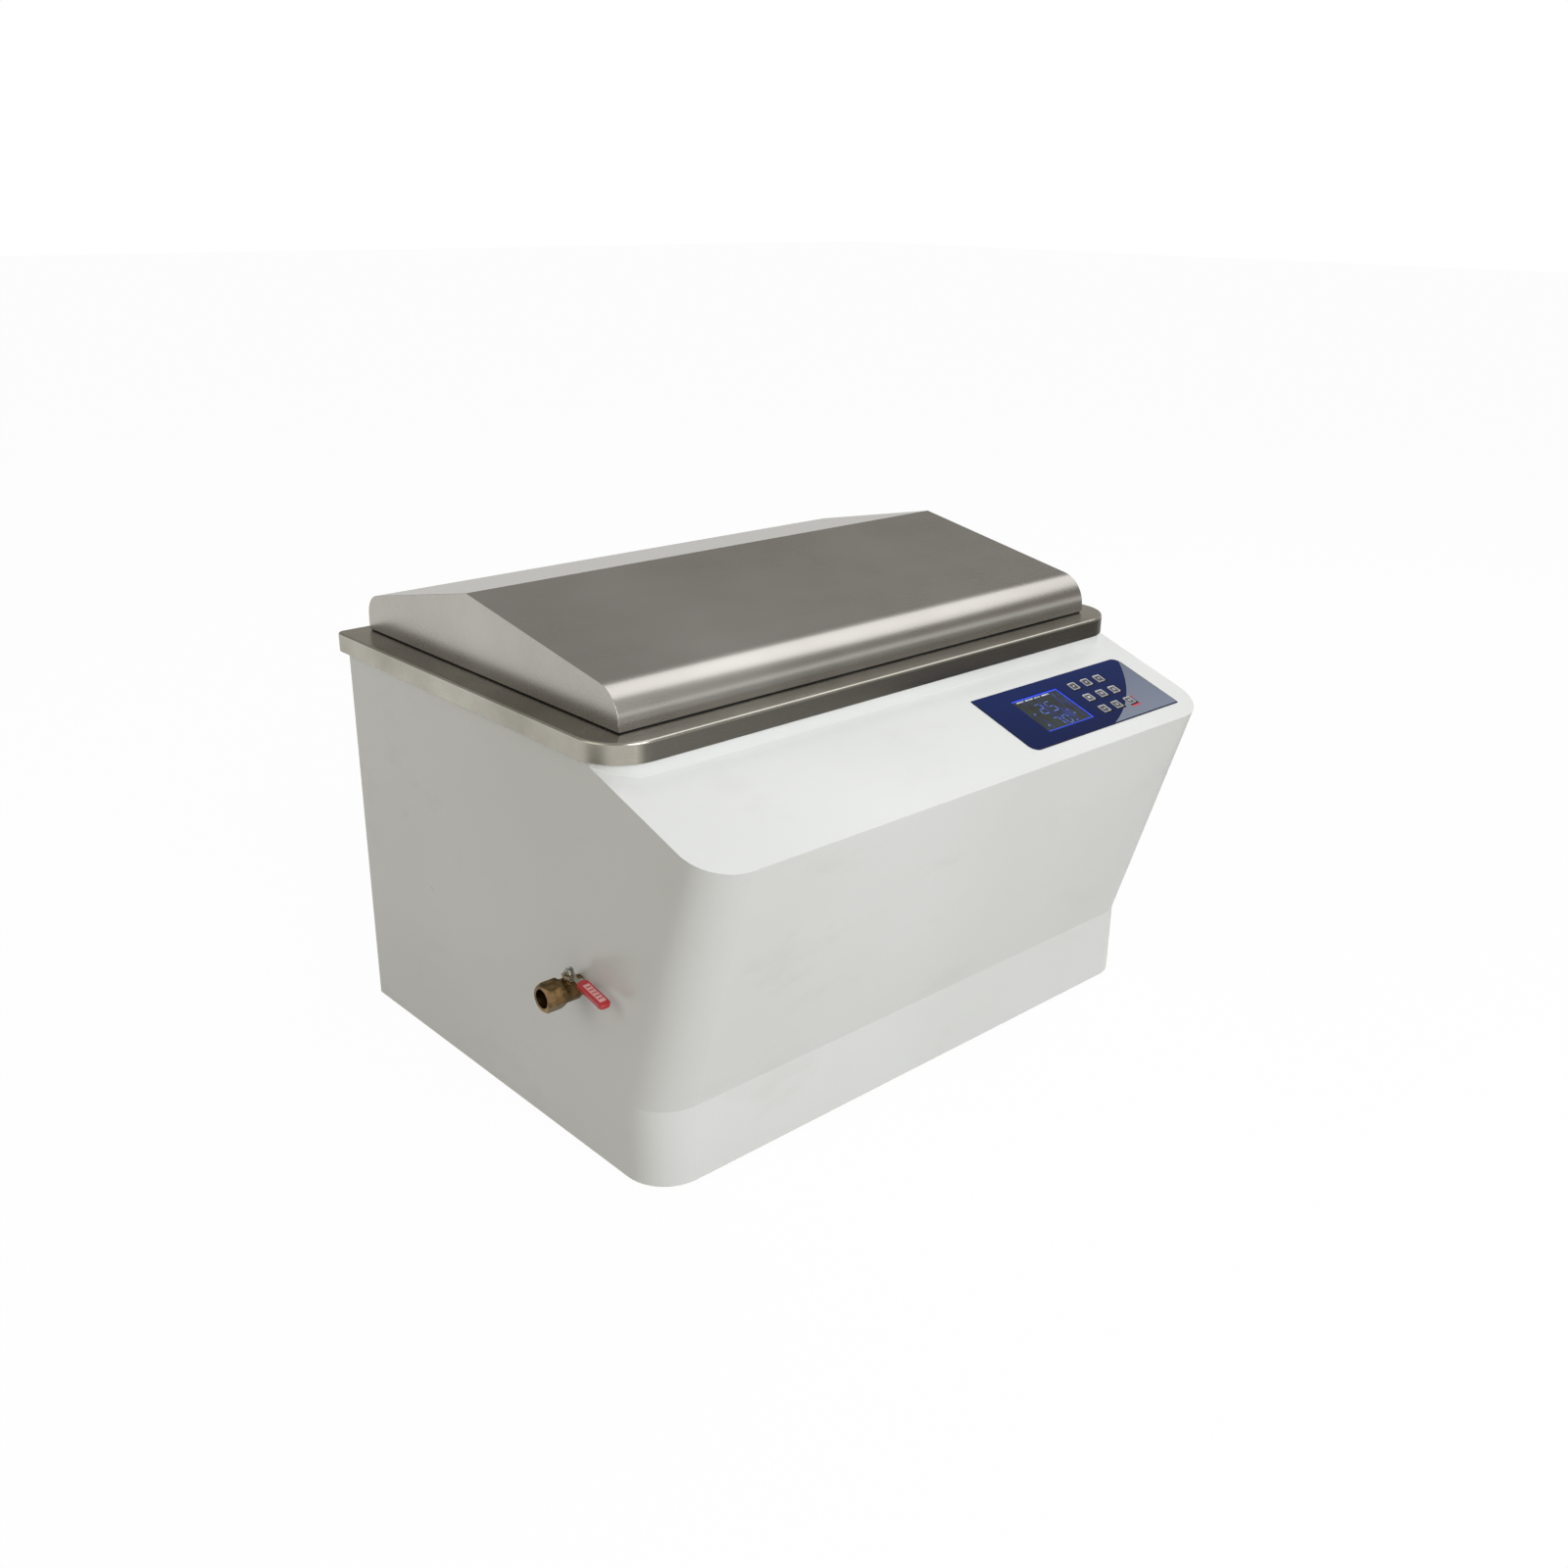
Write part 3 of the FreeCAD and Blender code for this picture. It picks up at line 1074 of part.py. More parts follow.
def build_drive_frame():
    plate = prism("deck_blank", "XY", rounded_box(
        ("-deck_side", "deck_side"), ("tank_middle - deck_end", "tank_middle + deck_end"), "column_radius"),
        "deck_height", "deck_top")

    def deck_way(name, radius, x, y):
        return rod(f"deck_{name}_way", radius, x=x, y=y, low="deck_height - overcut", high="deck_top + overcut")

    ways = [deck_way("crank", "crank_journal_radius + shaft_clearance", "0", "tank_middle"),
            deck_way("motor", "motor_shaft_radius + 2 * shaft_clearance", "motor_side", "motor_y"),
            deck_way("wire", "deck_hole_radius", "-deck_hole_side", "tank_middle")]
    ways += [deck_way(f"idler_{name}", "idler_journal_radius + shaft_clearance", x, y)
             for name, (x, y) in idler_places.items()]
    node(cut("drive_deck", plate, *ways))
    node(group("deck_columns", [rod(f"column_{i}", "column_radius", x=x, y=y, low="base_top", high="deck_height")
                                for i, (x, y) in enumerate(column_places)]))

    crank_bearing = "(crank_journal_radius + bearing_wall)"
    housing_low = "deck_height - crank_housing_length"
    tube = ring("crank_tube", crank_bearing, f"{crank_bearing} + housing_wall", "0", "tank_middle",
                housing_low, "deck_height")
    foot = ring("crank_foot", crank_bearing, f"{crank_bearing} + housing_wall + housing_flange", "0",
                "tank_middle", "deck_height - housing_wall", "deck_height")
    floor = ring("crank_floor", "crank_journal_radius + bore_clearance", f"{crank_bearing} + housing_wall", "0",
                 "tank_middle", housing_low, f"{housing_low} + housing_floor")
    housings = [fuse("crank_housing", tube, foot, floor)]
    bearings = [ring("crank_bearing_low", "crank_journal_radius + close_fit", crank_bearing, "0",
                     "tank_middle", f"{housing_low} + housing_floor",
                     f"{housing_low} + housing_floor + bearing_height"),
                ring("crank_bearing_high", "crank_journal_radius + close_fit", crank_bearing, "0",
                     "tank_middle", "deck_height - bearing_height", "deck_height")]
    idler_bearing = "(idler_journal_radius + bearing_wall)"
    for name, (x, y) in idler_places.items():
        sleeve = ring(f"idler_tube_{name}", idler_bearing, f"{idler_bearing} + housing_wall", x, y,
                      "deck_top", "deck_top + bearing_height")
        flange = ring(f"idler_foot_{name}", idler_bearing, f"{idler_bearing} + 2 * housing_wall", x, y,
                      "deck_top", "deck_top + idler_foot_height")
        housings.append(fuse(f"idler_housing_{name}", sleeve, flange))
        bearings.append(ring(f"idler_bearing_{name}", "idler_journal_radius + close_fit", idler_bearing, x, y,
                             "deck_top", "deck_top + bearing_height"))
    node(group("bearing_housings", housings))
    node(group("deck_bearings", bearings))

    plate_half = "motor_plate / 2"
    bracket = prism("bracket_blank", "XY", rounded_box(
        (f"motor_side - {plate_half}", f"motor_side + {plate_half}"),
        (f"motor_y - {plate_half}", f"motor_y + {plate_half}"), "column_radius"),
        "motor_top", "deck_height")
    shaft_way = rod("bracket_way", "motor_shaft_radius + 2 * shaft_clearance", x="motor_side", y="motor_y",
                    low="motor_top - overcut", high="deck_height + overcut")
    node(cut("motor_bracket", bracket, shaft_way))
    bore = "motor_shaft_radius + shaft_clearance"
    node(turned("drive_motor", [
        (bore, "motor_top - motor_length"), ("motor_radius - motor_edge", "motor_top - motor_length"),
        ("motor_radius", "motor_top - motor_length + motor_edge"),
        ("motor_radius", "motor_top - motor_flange_height"),
        ("motor_radius + motor_flange", "motor_top - motor_flange_height"),
        ("motor_radius + motor_flange", "motor_top"), (bore, "motor_top")], x="motor_side", y="motor_y"))


def belt_loop(grow):
    """The belt's line round both pulleys, grown by an amount."""
    big = number(f"driven_pulley_radius + {grow}")
    small = number(f"motor_pulley_radius + {grow}")
    start = FreeCAD.Vector(0, number("tank_middle"), number("belt_bottom"))
    end = FreeCAD.Vector(number("motor_side"), number("motor_y"), number("belt_bottom"))
    span = end - start
    heading = math.atan2(span.y, span.x)
    spread = math.acos((big - small) / span.Length)

    def touch(centre, radius, angle):
        return centre + FreeCAD.Vector(radius * math.cos(heading + angle), radius * math.sin(heading + angle), 0)

    edges = [Part.Arc(touch(start, big, spread), touch(start, big, math.pi), touch(start, big, -spread)).toShape(),
             Part.makeLine(touch(start, big, -spread), touch(end, small, -spread)),
             Part.Arc(touch(end, small, -spread), touch(end, small, 0), touch(end, small, spread)).toShape(),
             Part.makeLine(touch(end, small, spread), touch(start, big, spread))]
    return Part.Face(Part.Wire(edges))


def build_belt():
    height = FreeCAD.Vector(0, 0, number("belt_top - belt_bottom"))
    outer = belt_loop("small_gap + belt_thickness").extrude(height)
    inner = belt_loop("small_gap").extrude(height)
    belt = doc.addObject("Part::Feature", "drive_belt")
    belt.Shape = outer.cut(inner)
    node(belt)


def pulley(name, radius, bore, x, y):
    """A flat-belt pulley with a flange above and below the belt."""
    rim = "pulley_flange + small_gap + belt_thickness"
    return turned(name, [
        (bore, "pulley_bottom"), (f"{radius} + {rim}", "pulley_bottom"),
        (f"{radius} + {rim}", "pulley_bottom + pulley_flange_height"),
        (radius, "pulley_bottom + pulley_flange_height"),
        (radius, "pulley_top - pulley_flange_height"), (f"{radius} + {rim}", "pulley_top - pulley_flange_height"),
        (f"{radius} + {rim}", "pulley_top"), (bore, "pulley_top")], x=x, y=y)


def build_moving_drive():
    pin_x = "orbit_radius"
    journal = rod("crank_journal", "crank_journal_radius", y="tank_middle",
                  low="deck_height - crank_housing_length + housing_floor", high="pulley_top")
    web = rod("crank_web", "crank_web_radius", y="tank_middle", low="pulley_top", high="web_top")
    pin = rod("crank_pin", "crank_pin_radius", x=pin_x, y="tank_middle", low="web_top",
              high="carrier_top - small_gap")
    heavy = rod("counterweight_disc", "2 * crank_web_radius", y="tank_middle", low="pulley_top", high="web_top")
    heavy_side = block("counterweight_side", ("-3 * crank_web_radius", "-crank_web_radius / 3"),
                       ("tank_middle - 3 * crank_web_radius", "tank_middle + 3 * crank_web_radius"),
                       ("pulley_top", "web_top"))
    node(fuse("crank_shaft", journal, web, pin, common("counterweight", heavy, heavy_side)))
    blank = pulley("driven_pulley_blank", "driven_pulley_radius", "crank_journal_radius", "0", "tank_middle")
    windows = [rod(f"pulley_window_{i}", "pulley_window_radius",
                   x=f"pulley_window_circle * cos({60 * i + 30})",
                   y=f"tank_middle + pulley_window_circle * sin({60 * i + 30})",
                   low="pulley_bottom - overcut", high="pulley_top + overcut") for i in range(6)]
    node(cut("driven_pulley", blank, *windows))
    for name, (x, y) in idler_places.items():
        shaft = rod(f"idler_shaft_{name}", "idler_journal_radius", x=x, y=y, low="deck_top",
                    high="idler_web_bottom")
        disc = rod(f"idler_disc_{name}", "idler_web_radius", x=x, y=y, low="idler_web_bottom", high="web_top")
        stub = rod(f"idler_stub_{name}", "idler_pin_radius", x=f"{x} + orbit_radius", y=y, low="web_top",
                   high="carrier_top - small_gap")
        node(fuse(f"idler_crank_{name}", shaft, disc, stub))
    wheel = pulley("motor_wheel", "motor_pulley_radius", "0", "motor_side", "motor_y")
    shaft = rod("motor_shaft", "motor_shaft_radius", x="motor_side", y="motor_y",
                low="motor_top - motor_length - motor_tail", high="pulley_bottom")
    node(fuse("motor_pulley", wheel, shaft))


magnet_places = [(f"{column} * magnet_pitch", f"tank_middle + {line} * magnet_row")
                 for column in (-1, 0, 1) for line in (-1, 1)]
clip_places = [(f"{column} * clip_pitch", f"tank_middle + {line} * clip_row")
               for column in (-1.5, -0.5, 0.5, 1.5) for line in (-1, 1)]


def shifted(x):
    """The carrier and tray rest at the crank's right-hand position."""
    return f"orbit_radius + {x}"


def build_carrier():
    plate = prism("carrier_blank", "XY", rounded_box(
        (shifted("-carrier_side"), shifted("carrier_side")),
        ("tank_middle - carrier_end", "tank_middle + carrier_end"), "carrier_corner"),
        "carrier_lift", "carrier_top")
    seats = [("0", "tank_middle", "crank_pin_radius")]
    seats += [(x, y, "idler_pin_radius") for x, y in idler_places.values()]
    bosses = []
    bores = []
    rings = []
    for i, (x, y, pin) in enumerate(seats):
        bosses.append(rod(f"carrier_boss_{i}", f"{pin} + bearing_wall + housing_wall", x=shifted(x), y=y,
                          low="boss_bottom", high="carrier_lift"))
        bores.append(rod(f"carrier_bore_{i}", f"{pin} + bearing_wall", x=shifted(x), y=y,
                         low="boss_bottom - overcut", high="boss_bottom + bearing_height"))
        bores.append(rod(f"carrier_hole_{i}", f"{pin} + bore_clearance", x=shifted(x), y=y, low="boss_bottom",
                         high="carrier_top + overcut"))
        rings.append(ring(f"pin_bearing_{i}", f"{pin} + close_fit", f"{pin} + bearing_wall", shifted(x), y,
                          "boss_bottom", "boss_bottom + bearing_height"))
    windows = [rod(f"carrier_window_{i}", "carrier_window_radius", x=shifted(f"{side} * carrier_window_side"),
                   y="tank_middle", low="carrier_lift - overcut", high="carrier_top + overcut")
               for i, side in enumerate((-1, 1))]
    node(cut("magnet_carrier", fuse("carrier_with_bosses", plate, *bosses), *bores, *windows))
    node(group("carrier_bearings", rings))
    node(group("drive_magnets", [rod(f"drive_magnet_{i}", "magnet_radius", x=shifted(x), y=y, low="carrier_top",
                                     high="tank_underside - magnet_gap")
                                 for i, (x, y) in enumerate(magnet_places)]))


def build_tray():
    def tray_section(inset):
        return rounded_box((shifted(f"-tray_side + {inset}"), shifted(f"tray_side - {inset}")),
                           (f"tank_middle - tray_end + {inset}", f"tank_middle + tray_end - {inset}"),
                           f"tray_corner - {inset}")

    dish = prism("tray_dish", "XY", tray_section("0"), "tray_bottom", "tray_bottom + tray_edge")
    hollow = prism("tray_hollow", "XY", tray_section("tray_sheet"), "tray_top", "tray_bottom + 2 * tray_edge")
    through = {"low": "tray_bottom - overcut", "high": "tray_top + overcut"}
    holes = [rod(f"tray_hole_{i}_{j}", "tray_hole_radius", x=shifted(f"{column} * clip_pitch"),
                 y=f"tank_middle + {line} * (tray_end - tray_hole_inset)", **through)
             for i, column in enumerate((-1, 0, 1)) for j, line in enumerate((-1, 0, 1)) if column or line]
    screw_ways = [rod(f"tray_screw_way_{i}", "screw_radius", x=shifted(x), y=y, **through)
                  for i, (x, y) in enumerate(clip_places)]
    node(cut("shaking_tray", dish, hollow, *holes, *screw_ways))
    node(group("tray_magnets", [rod(f"tray_magnet_{i}", "magnet_radius", x=shifted(x), y=y,
                                    low="tank_floor + magnet_gap", high="tray_bottom")
                                for i, (x, y) in enumerate(magnet_places)]))
    glides = [rod(f"glide_{side}_{end}".replace("-", "m"), "glide_radius",
                  x=shifted(f"{side} * (tray_side - glide_inset)"),
                  y=f"tank_middle + {end} * (tray_end - glide_inset)", low="tank_floor + small_gap",
                  high="tray_bottom") for side in (-1, 1) for end in (-1, 1)]
    node(group("tray_glides", glides))

    clips = []
    garters = []
    screws = []
    base = "tray_top"
    for i, (x, y) in enumerate(clip_places):
        cup = turned(f"clip_cup_{i}", [
            ("screw_radius", base), ("clip_radius - clip_foot", base),
            ("clip_radius", f"{base} + clip_foot_height"),
            ("clip_radius", f"{base} + clip_shoulder"), ("clip_waist", f"{base} + clip_height"),
            ("clip_waist - clip_sheet", f"{base} + clip_height"),
            ("clip_radius - clip_sheet", f"{base} + clip_shoulder"),
            ("clip_radius - clip_sheet", f"{base} + clip_foot_height + clip_sheet / 2"),
            ("clip_radius - clip_foot - clip_sheet / 2", f"{base} + clip_sheet"),
            ("screw_radius", f"{base} + clip_sheet")],
            x=shifted(x), y=y)
        bar = block(f"clip_bar_{i}", (f"{shifted(x)} - 2 * clip_radius", f"{shifted(x)} + 2 * clip_radius"),
                    (f"{y} - clip_finger / 2", f"{y} + clip_finger / 2"), (base, f"{base} + 2 * clip_height"))
        cross = block(f"clip_cross_{i}", (f"{shifted(x)} - clip_finger / 2", f"{shifted(x)} + clip_finger / 2"),
                      (f"{y} - 2 * clip_radius", f"{y} + 2 * clip_radius"), (base, f"{base} + 2 * clip_height"))
        clips.append(common(f"clip_{i}", cup, fuse(f"clip_fingers_{i}", bar, cross)))
        lean = "(clip_radius - clip_waist) * (garter_height - clip_shoulder) / (clip_height - clip_shoulder)"
        middle = f"(clip_radius - {lean} + garter_radius + small_gap)"
        garters.append(turned(f"garter_{i}", [
            (f"{middle} - garter_radius", f"{base} + garter_height"),
            (middle, f"{base} + garter_height - garter_radius"),
            (f"{middle} + garter_radius", f"{base} + garter_height"),
            (middle, f"{base} + garter_height + garter_radius")], x=shifted(x), y=y))
        head = rod(f"clip_head_{i}", "screw_head_radius", x=shifted(x), y=y, low=f"{base} + clip_sheet",
                   high=f"{base} + clip_sheet + screw_head_height")
        shank = rod(f"clip_shank_{i}", "screw_radius", x=shifted(x), y=y,
                    low="tray_bottom - clip_nut_height - clip_screw_tail", high=f"{base} + clip_sheet")
        nut = rod(f"clip_nut_{i}", "screw_head_radius", x=shifted(x), y=y, low="tray_bottom - clip_nut_height",
                  high="tray_bottom")
        screws.append(fuse(f"clip_screw_{i}", head, shank, nut))
    node(group("flask_clips", clips))
    node(group("clip_springs", garters))
    node(group("clip_screws", screws))


# Control panel

def key_places():
    """Column and row of each key with its centre on the console."""
    return [(column, line, f"key_left + {column} * key_pitch", f"key_low + {line} * key_row_pitch")
            for line in (2, 1, 0) for column in (0, 1, 2)]


def square(x, y, half):
    return [(f"{x} - ({half})", f"{y} - ({half})"), (f"{x} + {half}", f"{y} - ({half})"),
            (f"{x} + {half}", f"{y} + {half}"), (f"{x} - ({half})", f"{y} + {half}")]


def build_control_panel():
    foil = prism("overlay_blank", "XY", [
        ("overlay_left", "overlay_low", "overlay_corner"), ("overlay_right", "overlay_low"),
        ("overlay_right", "overlay_high", "overlay_corner"), ("overlay_left", "overlay_high")],
        "0", "overlay_thickness")
    screen = ("display_left", "display_left + display_width")
    screen_way = prism("overlay_screen_way", "XY", [
        (screen[0], "display_low"), (screen[1], "display_low"), (screen[1], "display_high"),
        (screen[0], "display_high")], "-overcut", "overlay_thickness + overcut")
    key_ways = [prism(f"overlay_key_way_{column}_{line}", "XY",
                      square(x, y, "key_size / 2 + small_gap"), "-overcut", "overlay_thickness + overcut")
                for column, line, x, y in key_places()]
    node(on_console(cut("control_overlay", foil, screen_way, *key_ways)))

    glass = prism("display_glass", "XY", square_between(screen, ("display_low", "display_high"), "-small_gap"),
                  "-2 * shell_wall", "overlay_thickness - display_recess")
    frame = prism("display_case", "XY", square_between(screen, ("display_low", "display_high"), "display_frame"),
                  "-display_depth - shell_wall", "-shell_wall")
    node(on_console(fuse("display_module", glass, frame)))

    reach = "(key_pitch / 2 + board_margin)"
    board = prism("board_blank", "XY", square_between(
        ("key_left", "key_left + 2 * key_pitch"), ("key_low", "key_low + 2 * key_row_pitch"), reach),
        "-board_drop - board_thickness", "-board_drop")
    posts = []
    post_reach = f"({reach} - board_post_inset)"
    post_places = [(post_x, post_y)
                   for post_x in (f"key_left - {post_reach}", f"key_left + 2 * key_pitch + {post_reach}")
                   for post_y in (f"key_low - {post_reach}", f"key_low + 2 * key_row_pitch + {post_reach}")]
    for i, (x, y) in enumerate(post_places):
        posts.append(rod(f"board_post_{i}", "screw_radius", x=x, y=y, low="-board_drop", high="-shell_wall"))
    switches = [prism(f"tact_switch_{column}_{line}", "XY", square(x, y, "tact_switch_size / 2"), "-board_drop",
                      "-small_gap - key_flange_height - key_travel - tact_switch_slack")
                for column, line, x, y in key_places()]
    node(on_console(fuse("key_board", board, *posts, *switches)))

    for i, (column, line, x, y) in enumerate(key_places(), start=1):
        half = "key_size / 2"
        body = prism(f"key_cap_{i}", "XY", [corner + ("key_corner",) for corner in square(x, y, half)],
                     "-small_gap - key_flange_height", "overlay_thickness + key_rise")
        flange = prism(f"key_skirt_{i}", "XY", square(x, y, "key_size / 2 + key_flange"),
                       "-small_gap - key_flange_height", "-small_gap")
        node(on_console(fuse(f"key_{i}", body, flange)))

    half_length = "power_board_length / 2"
    low = "base_top + standoff_height"
    front = "shell_front + power_board_front"
    sheet = block("power_sheet", (f"power_board_side - {half_length}", f"power_board_side + {half_length}"),
                  (front, f"{front} + power_board_width"), (low, f"{low} + board_thickness"))
    parts = [sheet]
    standoff_places = [(x, y) for x in (f"power_board_side - {half_length} + standoff_inset",
                                        f"power_board_side + {half_length} - standoff_inset")
                       for y in (f"{front} + standoff_inset", f"{front} + power_board_width - standoff_inset")]
    for i, (x, y) in enumerate(standoff_places):
        parts.append(rod(f"standoff_{i}", "standoff_radius", x=x, y=y, low="base_top", high=low))
    top = f"{low} + board_thickness"
    left_edge = f"power_board_side - {half_length} + power_edge"
    right_edge = f"power_board_side + {half_length} - power_edge"
    back_edge = f"{front} + power_board_width - power_edge"
    parts.append(block("transformer", (left_edge, f"{left_edge} + transformer_length"),
                       (f"{front} + power_edge", f"{front} + power_edge + transformer_width"),
                       (top, f"{top} + transformer_height")))
    parts.append(block("heat_sink", (f"{right_edge} - heat_sink_length", right_edge),
                       (f"{back_edge} - heat_sink_width", back_edge), (top, f"{top} + heat_sink_height")))
    parts.append(block("terminal_row", (f"{right_edge} - terminal_row_length", right_edge),
                       (f"{front} + power_edge", f"{front} + power_edge + terminal_row_width"),
                       (top, f"{top} + terminal_row_height")))
    node(fuse("control_board", *parts))


def square_between(x, y, grow):
    """A rectangle between limits, grown all round."""
    return [(f"{x[0]} - ({grow})", f"{y[0]} - ({grow})"), (f"{x[1]} + {grow}", f"{y[0]} - ({grow})"),
            (f"{x[1]} + {grow}", f"{y[1]} + {grow}"), (f"{x[0]} - ({grow})", f"{y[1]} + {grow}")]


# Mains inlet and rocker switch

def build_power_entry():
    half = "inlet_width / 2"
    tall = "inlet_tall / 2"
    case = block("inlet_case", (f"inlet_side - {half}", f"inlet_side + {half}"),
                 ("panel_face - inlet_depth", "panel_face"), (f"inlet_level - {tall}", f"inlet_level + {tall}"))
    collar = block("inlet_collar", (f"inlet_side - {half} - 4 * inlet_flange",
                                    f"inlet_side + {half} + 4 * inlet_flange"),
                   ("panel_face", "panel_face + inlet_proud"),
                   (f"inlet_level - {tall} - inlet_flange", f"inlet_level + {tall} + inlet_flange"))
    wide = f"({half} - inlet_wall)"
    high = f"({tall} - inlet_wall)"
    recess = prism("inlet_recess", "XY", [
        (f"-{wide}", f"-{high}"), (wide, f"-{high}"), (wide, f"{high} - inlet_chamfer"),
        (f"{wide} - inlet_chamfer", high), (f"-{wide} + inlet_chamfer", high),
        (f"-{wide}", f"{high} - inlet_chamfer")], "-inlet_proud", "inlet_depth - 4 * inlet_wall")
    recess.Placement = FreeCAD.Placement(FreeCAD.Vector(), FreeCAD.Rotation(FreeCAD.Vector(1, 0, 0), 90))
    bind(recess, x="inlet_side", y="panel_face + overcut", z="inlet_level")
    blades = [rod(f"inlet_blade_{i}", "blade_radius", x=f"inlet_side + {side} * blade_pitch",
                  z=f"inlet_level + {level} * blade_step", low="panel_face - inlet_depth + 2 * inlet_wall",
                  high="panel_face - blade_inset", axis="y")
              for i, (side, level) in enumerate(((-1, -1), (0, 1), (1, -1)))]
    node(fuse("power_inlet", cut("inlet_hollowed", fuse("inlet_blank", case, collar), recess), *blades))

    half = "switch_width / 2"
    tall = "switch_tall / 2"
    frame = block("switch_case", (f"switch_side - {half}", f"switch_side + {half}"),
                  ("panel_face - inlet_depth", "panel_face"), (f"inlet_level - {tall}", f"inlet_level + {tall}"))
    brim = block("switch_brim", (f"switch_side - {half} - inlet_flange", f"switch_side + {half} + inlet_flange"),
                 ("panel_face", "panel_face + inlet_proud"),
                 (f"inlet_level - {tall} - inlet_flange", f"inlet_level + {tall} + inlet_flange"))
    pocket = block("switch_pocket", ("switch_side - rocker_width / 2 - small_gap",
                                     "switch_side + rocker_width / 2 + small_gap"),
                   ("panel_face - inlet_depth / 2", "panel_face + 2 * inlet_proud"),
                   (f"inlet_level - {tall} + switch_wall", f"inlet_level + {tall} - switch_wall"))
    node(cut("power_switch", fuse("switch_blank", frame, brim), pocket))
    rocker = prism("switch_rocker", "YZ", [
        ("-rocker_depth", "-rocker_foot"), ("-rocker_depth", "rocker_foot"), ("rocker_edge", "rocker_half"),
        ("rocker_rise", "rocker_half"), ("rocker_rise - rocker_hollow", "0"), ("rocker_rise", "-rocker_half"),
        ("rocker_edge", "-rocker_half")], "-rocker_width / 2", "rocker_width / 2")
    node(bind(tilted(rocker, "rocker_tilt"), x="switch_side", y="panel_face - rocker_sink", z="inlet_level"))


build_cabinet()
build_feet_and_screws()
build_rim_and_tank()
build_lid()
build_heater()
build_valve()
build_drive_frame()
build_belt()
build_moving_drive()
build_carrier()
build_tray()
build_control_panel()
build_power_entry()
doc.recompute()

for piece in doc.Objects:
    if "Invalid" in piece.State or "Error" in piece.State:
        raise RuntimeError(f"{piece.Name} failed: {piece.State}")
for name, piece in nodes.items():
    if piece.Shape.isNull() or not piece.Shape.isValid():
        raise RuntimeError(f"{name} has no valid shape")

os.makedirs("parts", exist_ok=True)
for name, piece in nodes.items():
    piece.Shape.exportStep(f"parts/{name}.step")
    print(f"{name}: {len(piece.Shape.Solids)} solid(s), {piece.Shape.Volume / 1000:.1f} cm3")
print(f"{len(nodes)} nodes")
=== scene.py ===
import json
import math

import bpy
from mathutils import Matrix, Vector


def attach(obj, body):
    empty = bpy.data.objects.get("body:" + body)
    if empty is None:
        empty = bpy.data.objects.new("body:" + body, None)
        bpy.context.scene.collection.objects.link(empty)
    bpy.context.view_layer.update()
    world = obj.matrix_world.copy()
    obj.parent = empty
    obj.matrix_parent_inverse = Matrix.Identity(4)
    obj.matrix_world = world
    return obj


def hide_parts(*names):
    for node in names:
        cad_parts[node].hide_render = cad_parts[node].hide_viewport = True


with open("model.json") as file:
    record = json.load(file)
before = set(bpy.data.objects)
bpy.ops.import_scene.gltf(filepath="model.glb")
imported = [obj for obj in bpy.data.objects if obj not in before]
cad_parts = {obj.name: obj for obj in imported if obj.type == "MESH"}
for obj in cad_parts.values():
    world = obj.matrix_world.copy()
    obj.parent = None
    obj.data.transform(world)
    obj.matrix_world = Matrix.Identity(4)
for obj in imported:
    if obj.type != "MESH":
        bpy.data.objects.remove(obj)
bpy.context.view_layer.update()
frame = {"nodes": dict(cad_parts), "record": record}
nodes = frame["nodes"]
print("frame loaded:", len(nodes), "nodes")


# Material nodes

class Wire:  # a socket; an expression on it adds its Math nodes
    def __init__(self, paint, socket):
        self.paint = paint
        self.socket = socket

    def step(self, operation, first, second=0.0):
        return self.paint.add("ShaderNodeMath", {"operation": operation}, {0: first, 1: second})

    def __add__(self, other):
        return self.step("ADD", self, other)

    def __radd__(self, other):
        return self.step("ADD", other, self)

    def __sub__(self, other):
        return self.step("SUBTRACT", self, other)

    def __rsub__(self, other):
        return self.step("SUBTRACT", other, self)

    def __mul__(self, other):
        return self.step("MULTIPLY", self, other)

    def __truediv__(self, other):
        return self.step("DIVIDE", self, other)

    def __gt__(self, other):
        return self.step("GREATER_THAN", self, other)

    def __lt__(self, other):
        return self.step("LESS_THAN", self, other)

    def __pow__(self, other):
        return self.step("POWER", self, other)

    def size(self):
        return self.step("ABSOLUTE", self)


def tone(red, green, blue):  # a colour as a paint chart gives it, 0 to 255
    def linear(part):
        part = part / 255
        return part / 12.92 if part <= 0.04045 else ((part + 0.055) / 1.055) ** 2.4
    return (linear(red), linear(green), linear(blue), 1)


